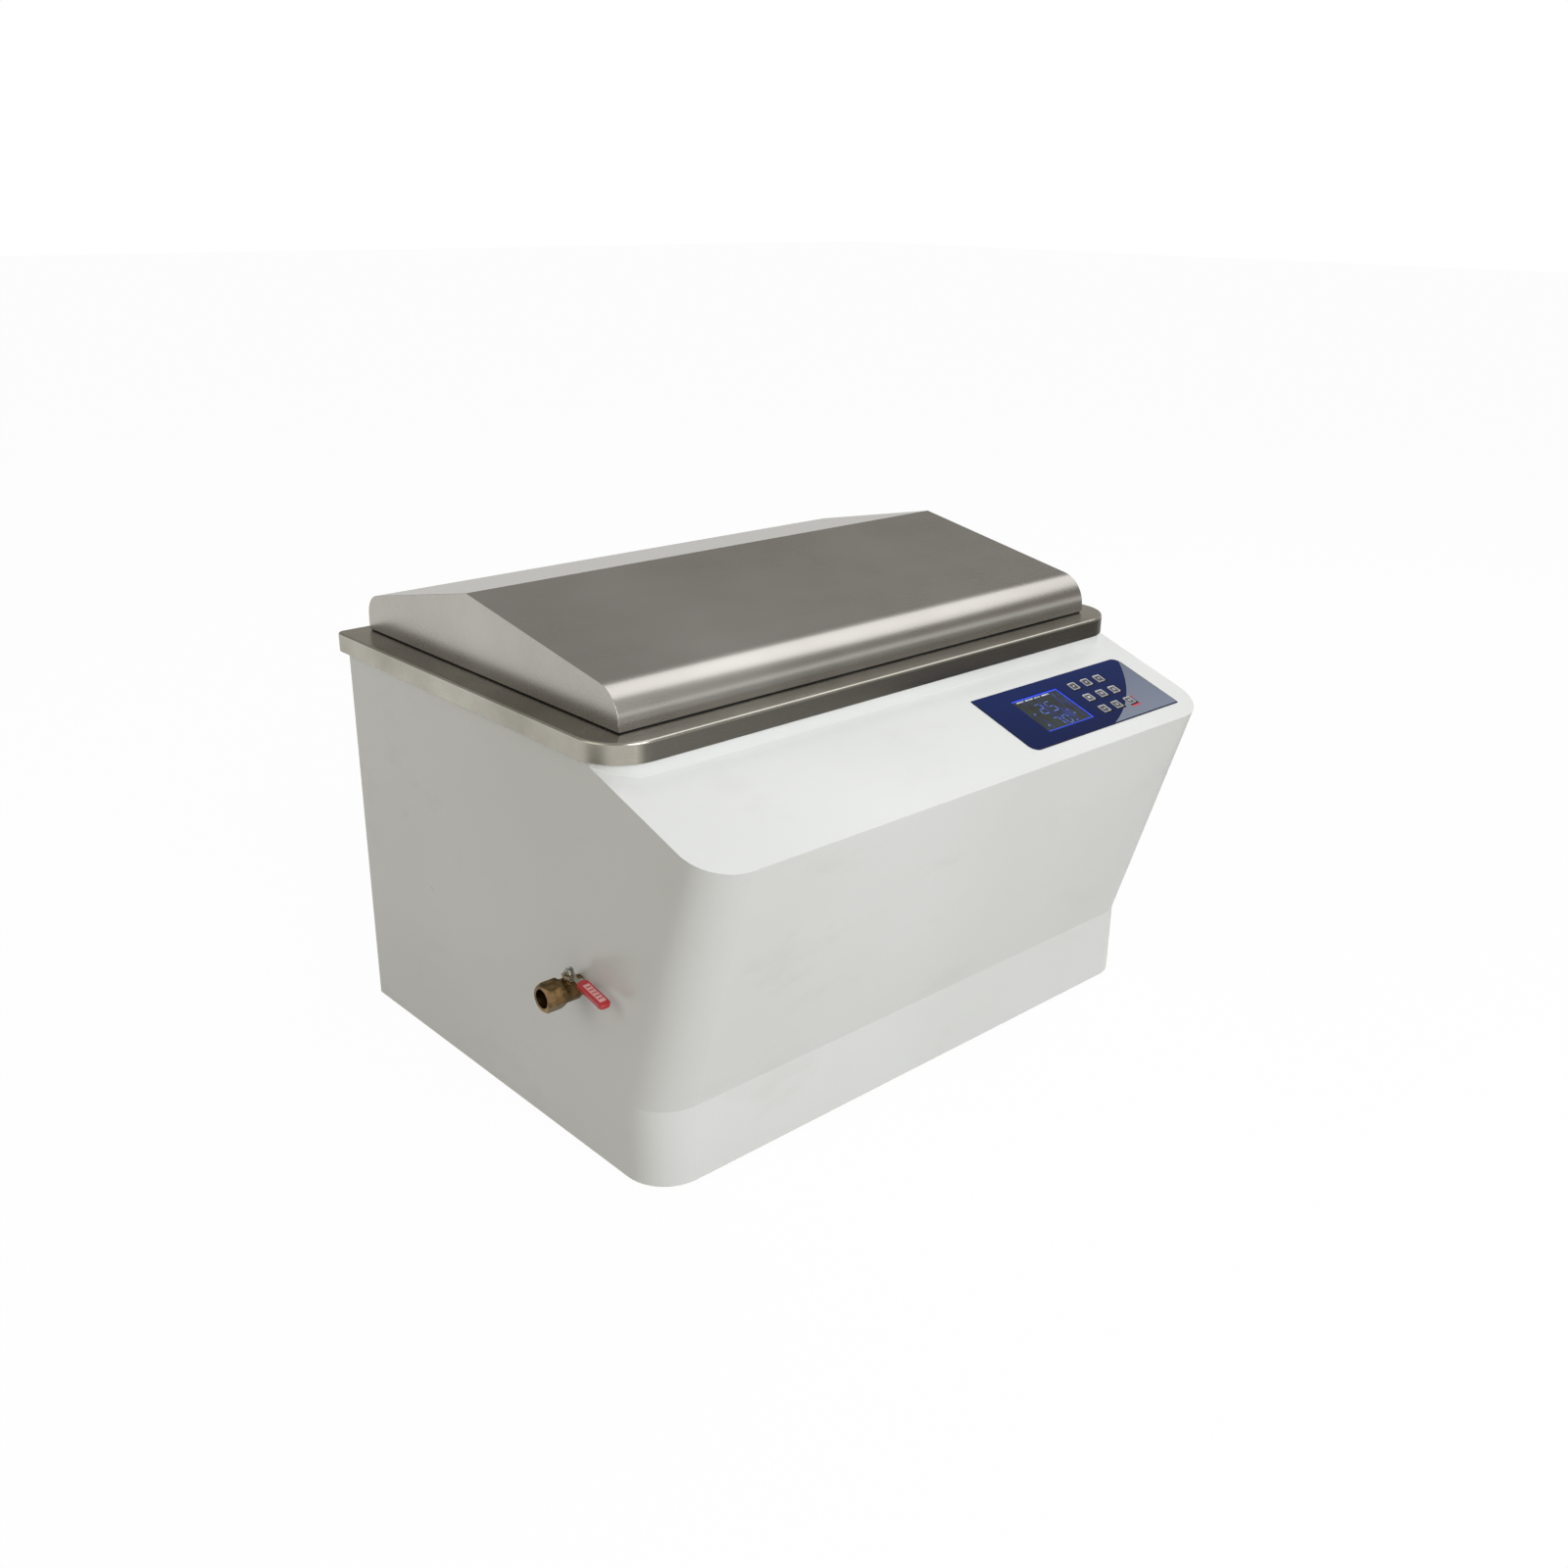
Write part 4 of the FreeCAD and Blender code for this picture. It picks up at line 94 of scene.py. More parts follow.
class Paint:  # one material and its nodes
    def __init__(self, name, **constants):
        self.material = bpy.data.materials.new(name)
        self.material.use_nodes = True
        self.tree = self.material.node_tree
        self.shader = self.tree.nodes["Principled BSDF"]
        self.output = self.tree.nodes["Material Output"]
        for socket, value in constants.items():
            self.shader.inputs[socket.replace("_", " ")].default_value = value
        self.places = None

    def feed(self, socket, value):
        if isinstance(value, Wire):
            self.tree.links.new(value.socket, socket)
        else:
            socket.default_value = value

    def add(self, kind, settings, inputs, output=0):
        node = self.tree.nodes.new(kind)
        stops = settings.pop("stops", None)
        for setting, value in settings.items():
            setattr(node, setting, value)
        if stops:
            ramp = node.color_ramp.elements
            while len(ramp) < len(stops):
                ramp.new(0.5)
            for element, (place, colour) in zip(ramp, stops):
                element.position = place
                element.color = colour
        for socket, value in inputs.items():
            self.feed(node.inputs[socket], value)
        return Wire(self, node.outputs[output])

    def place(self):  # Object coordinates, which are metres in the part's own frame
        if self.places is None:
            self.places = self.add("ShaderNodeTexCoord", {}, {}, "Object")
        return self.places

    def axes(self):
        split = self.tree.nodes.new("ShaderNodeSeparateXYZ")
        self.feed(split.inputs[0], self.place())
        return [Wire(self, split.outputs[i]) for i in range(3)]

    def stretched(self, scale):
        return self.add("ShaderNodeMapping", {}, {"Vector": self.place(), "Scale": scale})

    def noise(self, scale, detail=3, rough=0.5, where=None):
        where = where or self.place()
        return self.add("ShaderNodeTexNoise", {}, {"Vector": where, "Scale": scale, "Detail": detail,
                                                   "Roughness": rough})

    def spread(self, value, low, high, newLow=0.0, newHigh=1.0):
        return self.add("ShaderNodeMapRange", {}, {0: value, 1: low, 2: high, 3: newLow, 4: newHigh})

    def blend(self, factor, first, second):
        node = self.tree.nodes.new("ShaderNodeMix")
        node.data_type = "RGBA"
        self.feed(node.inputs[0], factor)
        self.feed(node.inputs[6], first)
        self.feed(node.inputs[7], second)
        return Wire(self, node.outputs[2])

    def wrapped(self, value, half):  # repeats from -half to half
        return self.add("ShaderNodeMath", {"operation": "WRAP"}, {0: value, 1: half, 2: -half})

    def either(self, first, second):
        return self.add("ShaderNodeMath", {"operation": "MAXIMUM"}, {0: first, 1: second})

    def bump(self, height, strength, distance):
        return self.add("ShaderNodeBump", {}, {"Height": height, "Strength": strength, "Distance": distance})

    def use(self, **links):
        for socket, value in links.items():
            self.feed(self.shader.inputs[socket.replace("_", " ")], value)
        return self.material


# Finishes; brushed steel, metal and plastic each serve several slots

cabinetPaint = {"fresh": tone(229, 231, 230), "dull": tone(222, 224, 222), "smear": tone(208, 208, 203),
                "smearShare": 0.45, "rough": 0.3, "cloudScale": 2.6, "peelScale": 260}


def makeCabinetPaint():
    # white enamel with a faint orange peel, wider dull clouds and a few hand smears
    paint = Paint("cabinetPaint", Coat_Weight=0.2, Coat_Roughness=0.2, Specular_IOR_Level=0.4)
    clouds = paint.noise(cabinetPaint["cloudScale"], 2, 0.5)
    smears = paint.noise(1.0, 4, 0.6, paint.stretched((7, 7, 16)))
    peel = paint.noise(cabinetPaint["peelScale"], 2, 0.5)
    colour = paint.blend(paint.spread(clouds, 0.35, 0.65), cabinetPaint["fresh"], cabinetPaint["dull"])
    smeared = paint.spread(smears, 0.58, 0.8, 0, cabinetPaint["smearShare"])
    colour = paint.blend(smeared, colour, cabinetPaint["smear"])
    rough = cabinetPaint["rough"] + (clouds - 0.5) * 0.06 + (smears - 0.5) * 0.08
    return paint.use(Base_Color=colour, Roughness=rough, Normal=paint.bump(peel, 0.12, 0.0003))


def makeBrushed(name, light, dark, rough, run=(4, 900, 900), clouding=0.5, cloudScale=5, lineDepth=0.12):
    # stainless sheet whose brush lines run along the axis with the small scale
    steel = Paint(name, Metallic=1.0)
    lines = steel.noise(1.0, 4, 0.6, steel.stretched(run))
    wide = steel.noise(1.0, 3, 0.5, steel.stretched(tuple(s / 8 for s in run)))
    clouds = steel.noise(cloudScale, 3, 0.55)
    mix = steel.spread(clouds, 0.3, 0.7) * clouding + steel.spread(wide, 0.3, 0.7) * (1 - clouding)
    colour = steel.blend(mix, dark, light)
    streaks = steel.spread(lines, 0.25, 0.75, -lineDepth / 2, lineDepth / 2)
    return steel.use(Base_Color=colour, Roughness=rough + streaks + (clouds - 0.5) * 0.08,
                     Normal=steel.bump(lines, lineDepth, 0.0003))


def makeMetal(name, light, dark, rough, grainScale=180, bumpSize=0.0002, metallic=1.0):
    metal = Paint(name, Metallic=metallic)
    clouds = metal.noise(14, 3, 0.6)
    grain = metal.noise(grainScale, 3, 0.6)
    colour = metal.blend(metal.spread(clouds, 0.3, 0.7), dark, light)
    return metal.use(Base_Color=colour, Roughness=rough + (grain - 0.5) * 0.15,
                     Normal=metal.bump(grain, 0.3, bumpSize))


def makePlastic(name, light, dark, rough, grainScale=500, bumpSize=0.00015, coat=0.0):
    plastic = Paint(name, Coat_Weight=coat, Coat_Roughness=0.08)
    clouds = plastic.noise(20, 2, 0.5)
    grain = plastic.noise(grainScale, 2, 0.5)
    colour = plastic.blend(plastic.spread(clouds, 0.3, 0.7), dark, light)
    return plastic.use(Base_Color=colour, Roughness=rough + (grain - 0.5) * 0.1,
                       Normal=plastic.bump(grain, 0.3, bumpSize))


overlayPrint = {"blue": tone(18, 36, 88), "blueLow": tone(8, 24, 72),
                "grey": tone(125, 133, 149), "greyHigh": tone(112, 120, 137),
                "shadow": tone(14, 17, 36), "line": tone(24, 30, 62), "lineWidth": 0.0007,
                "sides": (0.0795, 0.3195), "ends": (0.022, 0.113),
                "blueFade": (0.02, 0.115), "greyFade": (0.03, 0.11),
                "arc": ((0.3195, 0.108), (0.280, 0.064), (0.2075, 0.022))}
keyGrid = {"left": 0.2195, "low": 0.0465, "across": 0.0216, "up": 0.022, "size": 0.0114, "top": 0.0016,
           "shade": (0.0014, -0.0015), "shadeSize": 0.0134}


def arcThrough(points):  # centre and radius of the circle through three points
    (ax, ay), (bx, by), (cx, cy) = points
    d = 2 * (ax * (by - cy) + bx * (cy - ay) + cx * (ay - by))
    a, b, c = ax * ax + ay * ay, bx * bx + by * by, cx * cx + cy * cy
    x = (a * (by - cy) + b * (cy - ay) + c * (ay - by)) / d
    y = (a * (cx - bx) + b * (ax - cx) + c * (bx - ax)) / d
    return x, y, math.hypot(ax - x, ay - y)


console = {"front": -0.335, "edge": 0.345, "angle": math.atan2(0.045, 0.132)}


def upSlope(y):  # a wire of y turned into distance up the console from its front edge
    return (y - console["front"]) / math.cos(console["angle"])


def makeOverlayPrint():
    film = Paint("overlayPrint", Specular_IOR_Level=0.05)
    x, y = film.axes()[:2]
    v = upSlope(y)
    centreX, centreV, radius = arcThrough(overlayPrint["arc"])
    reach = ((x - centreX) ** 2 + (v - centreV) ** 2) ** 0.5
    outside = reach > radius
    blue = film.blend(film.spread(v, *overlayPrint["blueFade"]), overlayPrint["blueLow"],
                      overlayPrint["blue"])
    grey = film.blend(film.spread(v, *overlayPrint["greyFade"]), overlayPrint["grey"],
                      overlayPrint["greyHigh"])
    colour = film.blend(outside, blue, grey)
    fine = film.noise(900, 2, 0.5)
    # the shadow printed below and to the right of every key
    across, up = keyGrid["across"], keyGrid["up"]
    middleKey = (keyGrid["left"] + across, keyGrid["low"] + up)
    column = film.wrapped(x - (middleKey[0] + keyGrid["shade"][0]), across / 2)
    row = film.wrapped(v - (middleKey[1] + keyGrid["shade"][1]), up / 2)
    inGrid = ((x - middleKey[0]).size() < 1.5 * across) * ((v - middleKey[1]).size() < 1.5 * up)
    half = keyGrid["shadeSize"] / 2
    shaded = inGrid * (column.size() < half) * (row.size() < half)
    colour = film.blend(shaded, colour, overlayPrint["shadow"])
    outline = (overlayPrint["sides"], overlayPrint["ends"])
    middle = [(low + high) / 2 for low, high in outline]
    reaches = [(high - low) / 2 - overlayPrint["lineWidth"] for low, high in outline]
    edge = film.either((x - middle[0]).size() > reaches[0], (v - middle[1]).size() > reaches[1])
    colour = film.blend(edge, colour, overlayPrint["line"])
    return film.use(Base_Color=colour, Roughness=0.42 + (fine - 0.5) * 0.08,
                    Normal=film.bump(fine, 0.15, 0.0001))


displayLook = {"glass": tone(44, 52, 42), "glassDark": tone(30, 36, 36), "glow": tone(42, 66, 205),
               "side": (0.122, 0.196), "along": (0.04, 0.096), "brightness": 0.5,
               "border": {"left": 0.0006, "right": 0.0026, "low": 0.0016, "high": 0.0026}}


def makeDisplayGlass():
    glass = Paint("displayGlass", Specular_IOR_Level=0.08)
    x, y = glass.axes()[:2]
    v = upSlope(y)
    side, along, border = displayLook["side"], displayLook["along"], displayLook["border"]
    across = glass.either(x < side[0] + border["left"], x > side[1] - border["right"])
    upright = glass.either(v < along[0] + border["low"], v > along[1] - border["high"])
    lit = glass.either(across, upright)
    stain = glass.noise(70, 2, 0.5)
    bars = glass.noise(1.0, 2, 0.5, glass.stretched((260, 40, 40)))
    inside = glass.blend(glass.spread(stain, 0.3, 0.7), displayLook["glass"], displayLook["glassDark"])
    inside = glass.blend(glass.spread(bars, 0.5, 0.75, 0, 0.35), inside, displayLook["glow"])
    glow = glass.blend(lit, (0, 0, 0, 1), displayLook["glow"])
    glass.shader.inputs["Emission Strength"].default_value = displayLook["brightness"]
    return glass.use(Base_Color=glass.blend(lit, inside, displayLook["glow"]), Roughness=0.25 + stain * 0.05,
                     Emission_Color=glow)


brassLook = {"dull": tone(88, 72, 48), "bare": tone(146, 120, 82), "patchScale": 120, "castScale": 700}


def makeBrass():
    brass = Paint("brass", Metallic=1.0)
    patches = brass.noise(brassLook["patchScale"], 4, 0.6)
    cast = brass.noise(brassLook["castScale"], 3, 0.6)
    colour = brass.blend(brass.spread(patches, 0.35, 0.65), brassLook["dull"], brassLook["bare"])
    return brass.use(Base_Color=colour, Roughness=0.4 + (patches - 0.5) * 0.3,
                     Normal=brass.bump(cast, 0.35, 0.0004))


# the darker tone for the band in front is painted reflection: it stands in for the dark room that band
# mirrors
rimSteel = {"ledge": tone(190, 187, 178), "ledgeDark": tone(166, 163, 153),
            "band": tone(186, 182, 172), "bandDark": tone(154, 150, 140),
            "bandFrontDarkReflection": tone(116, 112, 106), "darkReflectionFrom": (-0.2048, -0.2025),
            "low": 0.4205, "high": 0.4232, "rough": 0.25}


def makeRim():
    # one tone for the ledge on top and one for the band below it; the band in front is painted darker, a
    # painted dark reflection of the room before it
    steel = Paint("rimSteel", Metallic=1.0)
    y, z = steel.axes()[1:]
    lines = steel.noise(1.0, 4, 0.6, steel.stretched((6, 6, 900)))
    clouds = steel.noise(9, 4, 0.6)
    top = steel.blend(steel.spread(clouds, 0.3, 0.7), rimSteel["ledgeDark"], rimSteel["ledge"])
    side = steel.blend(steel.spread(clouds, 0.3, 0.7), rimSteel["bandDark"], rimSteel["band"])
    # painted dark reflection: the band in front is darkened by where it stands, not by the steel
    side = steel.blend(steel.spread(y, *rimSteel["darkReflectionFrom"], 1, 0), side, rimSteel["bandFrontDarkReflection"])
    colour = steel.blend(steel.spread(z, rimSteel["low"], rimSteel["high"]), side, top)
    rough = rimSteel["rough"] + steel.spread(lines, 0.25, 0.75, -0.04, 0.04) + (clouds - 0.5) * 0.12
    return steel.use(Base_Color=colour, Roughness=rough, Normal=steel.bump(lines, 0.1, 0.0002))


def makeRedPrint():
    ink = Paint("redPrint", Specular_IOR_Level=0.3)
    speckle = ink.noise(800, 2, 0.5)
    colour = ink.blend(speckle, tone(222, 62, 60), tone(206, 44, 48))
    return ink.use(Base_Color=colour, Roughness=0.4 + speckle * 0.1)


def makeGlow(name, bright, dim, strength):
    # segments of the display, a little uneven from one to the next
    glow = Paint(name, Specular_IOR_Level=0.2)
    patches = glow.noise(160, 2, 0.5)
    colour = glow.blend(glow.spread(patches, 0.35, 0.65), dim, bright)
    glow.shader.inputs["Emission Strength"].default_value = strength
    return glow.use(Base_Color=colour, Emission_Color=colour, Roughness=0.4 + patches * 0.1)


def makeFoam():
    wool = Paint("foam", Sheen_Weight=0.3)
    fibres = wool.noise(1.0, 5, 0.7, wool.stretched((160, 160, 30)))
    lumps = wool.noise(22, 3, 0.6)
    colour = wool.blend(wool.spread(fibres, 0.3, 0.7), tone(196, 188, 150), tone(226, 220, 190))
    return wool.use(Base_Color=colour, Roughness=0.9 + (lumps - 0.5) * 0.1,
                    Normal=wool.bump(fibres + lumps, 0.8, 0.002))


def makeBoard():
    board = Paint("circuitBoard", Coat_Weight=0.3, Coat_Roughness=0.2)
    squares = board.add("ShaderNodeTexVoronoi", {"distance": "CHEBYCHEV"},
                        {"Vector": board.place(), "Scale": 240})
    traces = board.spread(squares, 0.25, 0.32)
    colour = board.blend(traces, tone(24, 104, 62), tone(14, 74, 42))
    return board.use(Base_Color=colour, Roughness=0.35 + squares * 0.1,
                     Normal=board.bump(traces, 0.2, 0.0001))


print("making finishes")
finishes = {
    "cabinet_paint": makeCabinetPaint(),
    "lid_steel": makeBrushed("lidSteel", tone(190, 188, 184), tone(170, 166, 161), 0.28, (5, 900, 900),
                             0.9, 4, 0.02),
    "rim_steel": makeRim(),
    "tank_steel": makeBrushed("tankSteel", tone(190, 190, 188), tone(160, 160, 158), 0.28, (30, 30, 400)),
    "plated_steel": makeMetal("platedSteel", tone(188, 190, 186), tone(158, 158, 150), 0.35),
    "bright_steel": makeMetal("brightSteel", tone(196, 192, 182), tone(168, 162, 150), 0.2, 400),
    "spring_steel": makeMetal("springSteel", tone(200, 200, 198), tone(175, 175, 172), 0.22, 300),
    "heater_steel": makeMetal("heaterSteel", tone(120, 118, 116), tone(92, 90, 92), 0.42, 260),
    "bearing_steel": makeMetal("bearingSteel", tone(205, 205, 206), tone(185, 185, 186), 0.15, 500),
    "cast_housing": makeMetal("castHousing", tone(178, 178, 176), tone(150, 150, 148), 0.5, 300, 0.0006),
    "motor_paint": makePlastic("motorPaint", tone(58, 62, 68), tone(44, 48, 54), 0.4, 500, 0.0003),
    "black_rubber": makePlastic("blackRubber", tone(38, 38, 38), tone(28, 28, 29), 0.7, 800, 0.0003),
    "gasket_rubber": makePlastic("gasketRubber", tone(34, 33, 32), tone(24, 24, 24), 0.75, 700, 0.0003),
    "magnet": makeMetal("magnet", tone(120, 120, 122), tone(90, 90, 94), 0.35, 400),
    "slide_plastic": makePlastic("slidePlastic", tone(238, 238, 232), tone(226, 226, 218), 0.4),
    "foam": makeFoam(),
    "brass": makeBrass(),
    "red_vinyl": makePlastic("redVinyl", tone(200, 36, 44), tone(172, 26, 36), 0.35, 350, 0.0003, 0.5),
    "overlay_print": makeOverlayPrint(),
    "display_glass": makeDisplayGlass(),
    "key_silver": makeMetal("keySilver", tone(205, 206, 208), tone(180, 182, 186), 0.35, 600, 0.0001, 0.6),
    "circuit_board": makeBoard(),
    "black_plastic": makePlastic("blackPlastic", tone(40, 41, 42), tone(30, 30, 32), 0.45, 600, 0.0003),
    "rocker_plastic": makePlastic("rockerPlastic", tone(176, 28, 30), tone(150, 20, 24), 0.3, 500, 0.0001,
                                  0.3),
}

slotOf = {part["node"]: part["material_slot"] for part in frame["record"]["subparts"]}
for name, node in nodes.items():
    node.data.materials.clear()
    node.data.materials.append(finishes[slotOf[name]])

keyCentrePaint = makePlastic("keyCentre", tone(46, 49, 60), tone(34, 36, 46), 0.4, 700, 0.0001)
keyMarkPaint = makePlastic("keyMark", tone(214, 216, 222), tone(196, 198, 206), 0.35, 700, 0.0001)
segmentPaint = makeGlow("displaySegments", tone(92, 116, 196), tone(60, 78, 150), 0.25)
stripPaint = makeGlow("displayStrip", tone(196, 204, 212), tone(150, 158, 172), 0.25)
redPrintPaint = makeRedPrint()
sleevePanelPaint = makePlastic("sleevePanel", tone(232, 190, 186), tone(212, 158, 156), 0.45, 500, 0.0002)


# Pieces shaped from a copy of their solid, or from a primitive

tiny = 0.0001  # reach of a test for a level, in metres
weld = {"reach": 1e-6, "turn": 0.4}


def startPiece():
    bpy.ops.object.select_all(action="DESELECT")


def holdOnly(piece):
    startPiece()
    piece.select_set(True)
    bpy.context.view_layer.objects.active = piece


def copyOf(node, name):  # the solid's own shape with its loose triangles joined
    piece = bpy.data.objects.new(name, nodes[node].data.copy())
    bpy.context.scene.collection.objects.link(piece)
    holdOnly(piece)
    bpy.ops.object.mode_set(mode="EDIT")
    bpy.ops.mesh.select_all(action="SELECT")
    bpy.ops.mesh.remove_doubles(threshold=weld["reach"])
    bpy.ops.mesh.dissolve_limited(angle_limit=math.radians(weld["turn"]))
    bpy.ops.mesh.select_all(action="DESELECT")
    bpy.ops.object.mode_set(mode="OBJECT")
    return piece


def pickFaces(piece, wanted):  # wanted(centre, normal)
    bpy.context.tool_settings.mesh_select_mode = (False, False, True)
    for face in piece.data.polygons:
        face.select = wanted(face.center, face.normal)


def pickEdges(piece, wanted, sharpest=25):
    # wanted(one end, other end) is asked for each outward edge that turns by more than an angle
    bpy.context.tool_settings.mesh_select_mode = (False, True, False)
    mesh = piece.data
    meeting = {}
    for face in mesh.polygons:
        for key in face.edge_keys:
            meeting.setdefault(key, []).append(face)
    bluntest = math.cos(math.radians(sharpest))
    picked = 0
    for edge in mesh.edges:
        sides = meeting.get(edge.key, [])
        edge.select = False
        if len(sides) == 2 and sides[0].normal.dot(sides[1].normal) < bluntest:
            first, last = (mesh.vertices[i].co for i in edge.vertices)
            away = sides[1].center - first
            if away.dot(sides[0].normal) < 0 and wanted(first, last):
                edge.select = True
                picked += 1
    return picked


def roundEdges(piece, width, segments):
    holdOnly(piece)
    bpy.ops.object.mode_set(mode="EDIT")
    bpy.ops.mesh.bevel(offset=width, segments=segments, profile=0.5, affect="EDGES", clamp_overlap=True)
    bpy.ops.mesh.select_all(action="DESELECT")
    bpy.ops.object.mode_set(mode="OBJECT")


def finishPiece(piece, body, finish, place=None, standsFor=(), smooth=32):
    if place is not None:
        piece.matrix_world = place @ piece.matrix_world
    holdOnly(piece)
    bpy.ops.object.transform_apply(location=True, rotation=True, scale=True)
    bpy.ops.object.shade_smooth_by_angle(angle=math.radians(smooth))
    evenOut = piece.modifiers.new("evenOut", "WEIGHTED_NORMAL")
    evenOut.keep_sharp = True
    bpy.ops.object.modifier_apply(modifier=evenOut.name)
    piece.data.materials.clear()
    piece.data.materials.append(finish)
    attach(piece, body)
    if standsFor:
        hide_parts(*standsFor)


def slab(name, centre, size, bevel=0.0, segments=2, turn=0.0):  # a flat block with rounded edges
    startPiece()
    bpy.ops.mesh.primitive_cube_add(size=1, location=centre, rotation=(0, 0, math.radians(turn)))
    piece = bpy.context.active_object
    piece.name = name
    piece.scale = size
    bpy.ops.object.transform_apply(location=False, rotation=False, scale=True)
    if bevel:
        pickEdges(piece, lambda first, last: True)
        roundEdges(piece, bevel, segments)
    return piece


def sawn(piece, saw):  # the piece without what the saw fills
    holdOnly(piece)
    cut = piece.modifiers.new("cut", "BOOLEAN")
    cut.operation = "DIFFERENCE"
    cut.object = saw
    bpy.ops.object.modifier_apply(modifier=cut.name)
    bpy.data.objects.remove(saw)


def joined(name, pieces):
    holdOnly(pieces[0])
    for piece in pieces:
        piece.select_set(True)
    bpy.ops.object.join()
    pieces[0].name = name
    return pieces[0]


consolePlace = Matrix.Translation((0, console["front"], console["edge"]))
consolePlace = consolePlace @ Matrix.Rotation(console["angle"], 4, "X")

lidEdges = {"round": 0.0016, "segments": 4, "above": 0.4265}


def softenLid():
    piece = copyOf("lid_shell", "lidSoftened")
    picked = pickEdges(piece, lambda first, last: min(first.z, last.z) > lidEdges["above"])
    print("lid edges rounded:", picked)
    roundEdges(piece, lidEdges["round"], lidEdges["segments"])
    finishPiece(piece, "lid", finishes["lid_steel"], standsFor=("lid_shell",))


rimEdges = {"round": 0.0024, "segments": 5, "level": 0.424, "levelReach": 0.0003,
            "sideClear": 0.318, "frontClear": -0.17, "backClear": 0.272}


def softenRim():
    piece = copyOf("tank_rim", "rimSoftened")

    def onOutline(first, last):
        return all(abs(end.z - rimEdges["level"]) < rimEdges["levelReach"] and (
            abs(end.x) > rimEdges["sideClear"] or end.y < rimEdges["frontClear"]
            or end.y > rimEdges["backClear"]) for end in (first, last))

    print("rim edges rounded:", pickEdges(piece, onOutline))
    roundEdges(piece, rimEdges["round"], rimEdges["segments"])
    finishPiece(piece, "root", finishes["rim_steel"], standsFor=("tank_rim",))


keyFace = {"frame": 0.0009, "sunk": 0.0005, "edge": 0.00035, "corner": 0.0004, "segments": 3,
           "pad": 0.0084, "padHeight": 0.00012, "padEdge": 0.00005}
keyMarks = ["up", "down", "right", "square", "bars", "ring", "minus", "plus", "ring"]
markLook = {"thick": 0.0002, "edge": 0.00006, "arrow": 0.0018, "ring": (0.0016, 0.00035), "flat": 0.35,
            "turns": {"up": 0, "down": 180, "right": -90},
            "bars": {"square": [(0, 0, 0.0032, 0.0032)],
                     "bars": [(-0.0011, 0, 0.0011, 0.0034), (0.0011, 0, 0.0011, 0.0034)],
                     "minus": [(0, 0, 0.0036, 0.0010)],
                     "plus": [(0, 0, 0.0036, 0.0010), (0, 0, 0.0010, 0.0036)]}}


def keyMark(kind, centre):
    x, v, h = centre
    if kind in markLook["turns"]:
        startPiece()
        turn = math.radians(markLook["turns"][kind])
        bpy.ops.mesh.primitive_cylinder_add(vertices=3, radius=markLook["arrow"], depth=markLook["thick"],
                                            location=centre, rotation=(0, 0, turn))
        piece = bpy.context.active_object
        pickEdges(piece, lambda first, last: True)
        roundEdges(piece, markLook["edge"], 2)
        return piece
    if kind == "ring":
        startPiece()
        radius, thickness = markLook["ring"]
        bpy.ops.mesh.primitive_torus_add(major_radius=radius, minor_radius=thickness, major_segments=20,
                                         minor_segments=6, location=centre)
        piece = bpy.context.active_object
        piece.scale = (1, 1, markLook["flat"])
        return piece
    parts = [slab("mark", (x + dx, v + dv, h), (width, height, markLook["thick"]), markLook["edge"])
             for dx, dv, width, height in markLook["bars"][kind]]
    return joined("mark", parts)


def makeKeys():
    # each cap keeps its solid's outline and gets a sunk face, with a dark pad and a mark laid in it
    for i, kind in enumerate(keyMarks):
        body = f"key_{i + 1}"
        x = keyGrid["left"] + keyGrid["across"] * (i % 3)
        v = keyGrid["low"] + keyGrid["up"] * (2 - i // 3)
        cap = copyOf(body, f"keyCap{i + 1}")
        cap.matrix_world = consolePlace.inverted()
        holdOnly(cap)
        bpy.ops.object.transform_apply(location=True, rotation=True, scale=True)
        top = keyGrid["top"]
        pickFaces(cap, lambda centre, normal: normal.z > 0.99 and centre.z > top - 2 * tiny)
        bpy.ops.object.mode_set(mode="EDIT")
        bpy.ops.mesh.inset(thickness=keyFace["frame"], depth=0)
        bpy.ops.mesh.inset(thickness=keyFace["sunk"] * 0.5, depth=-keyFace["sunk"])
        bpy.ops.mesh.select_all(action="DESELECT")
        bpy.ops.object.mode_set(mode="OBJECT")
        half = keyGrid["size"] / 2 - tiny
        pickEdges(cap, lambda first, last: min(first.z, last.z) > top - tiny and all(
            max(abs(end.x - x), abs(end.y - v)) > half - keyFace["corner"] for end in (first, last)))
        roundEdges(cap, keyFace["edge"], keyFace["segments"])
        finishPiece(cap, body, finishes["key_silver"], consolePlace, (body,))
        floorLevel = top - keyFace["sunk"]
        pad = slab(f"keyPad{i + 1}", (x, v, floorLevel + keyFace["padHeight"] / 2),
                   (keyFace["pad"], keyFace["pad"], keyFace["padHeight"]), keyFace["padEdge"])
        finishPiece(pad, body, keyCentrePaint, consolePlace)
        mark = keyMark(kind, (x, v, floorLevel + keyFace["padHeight"] + markLook["thick"] / 2))
        mark.name = f"keyMark{i + 1}"
        finishPiece(mark, body, keyMarkPaint, consolePlace)
    print("keys made")


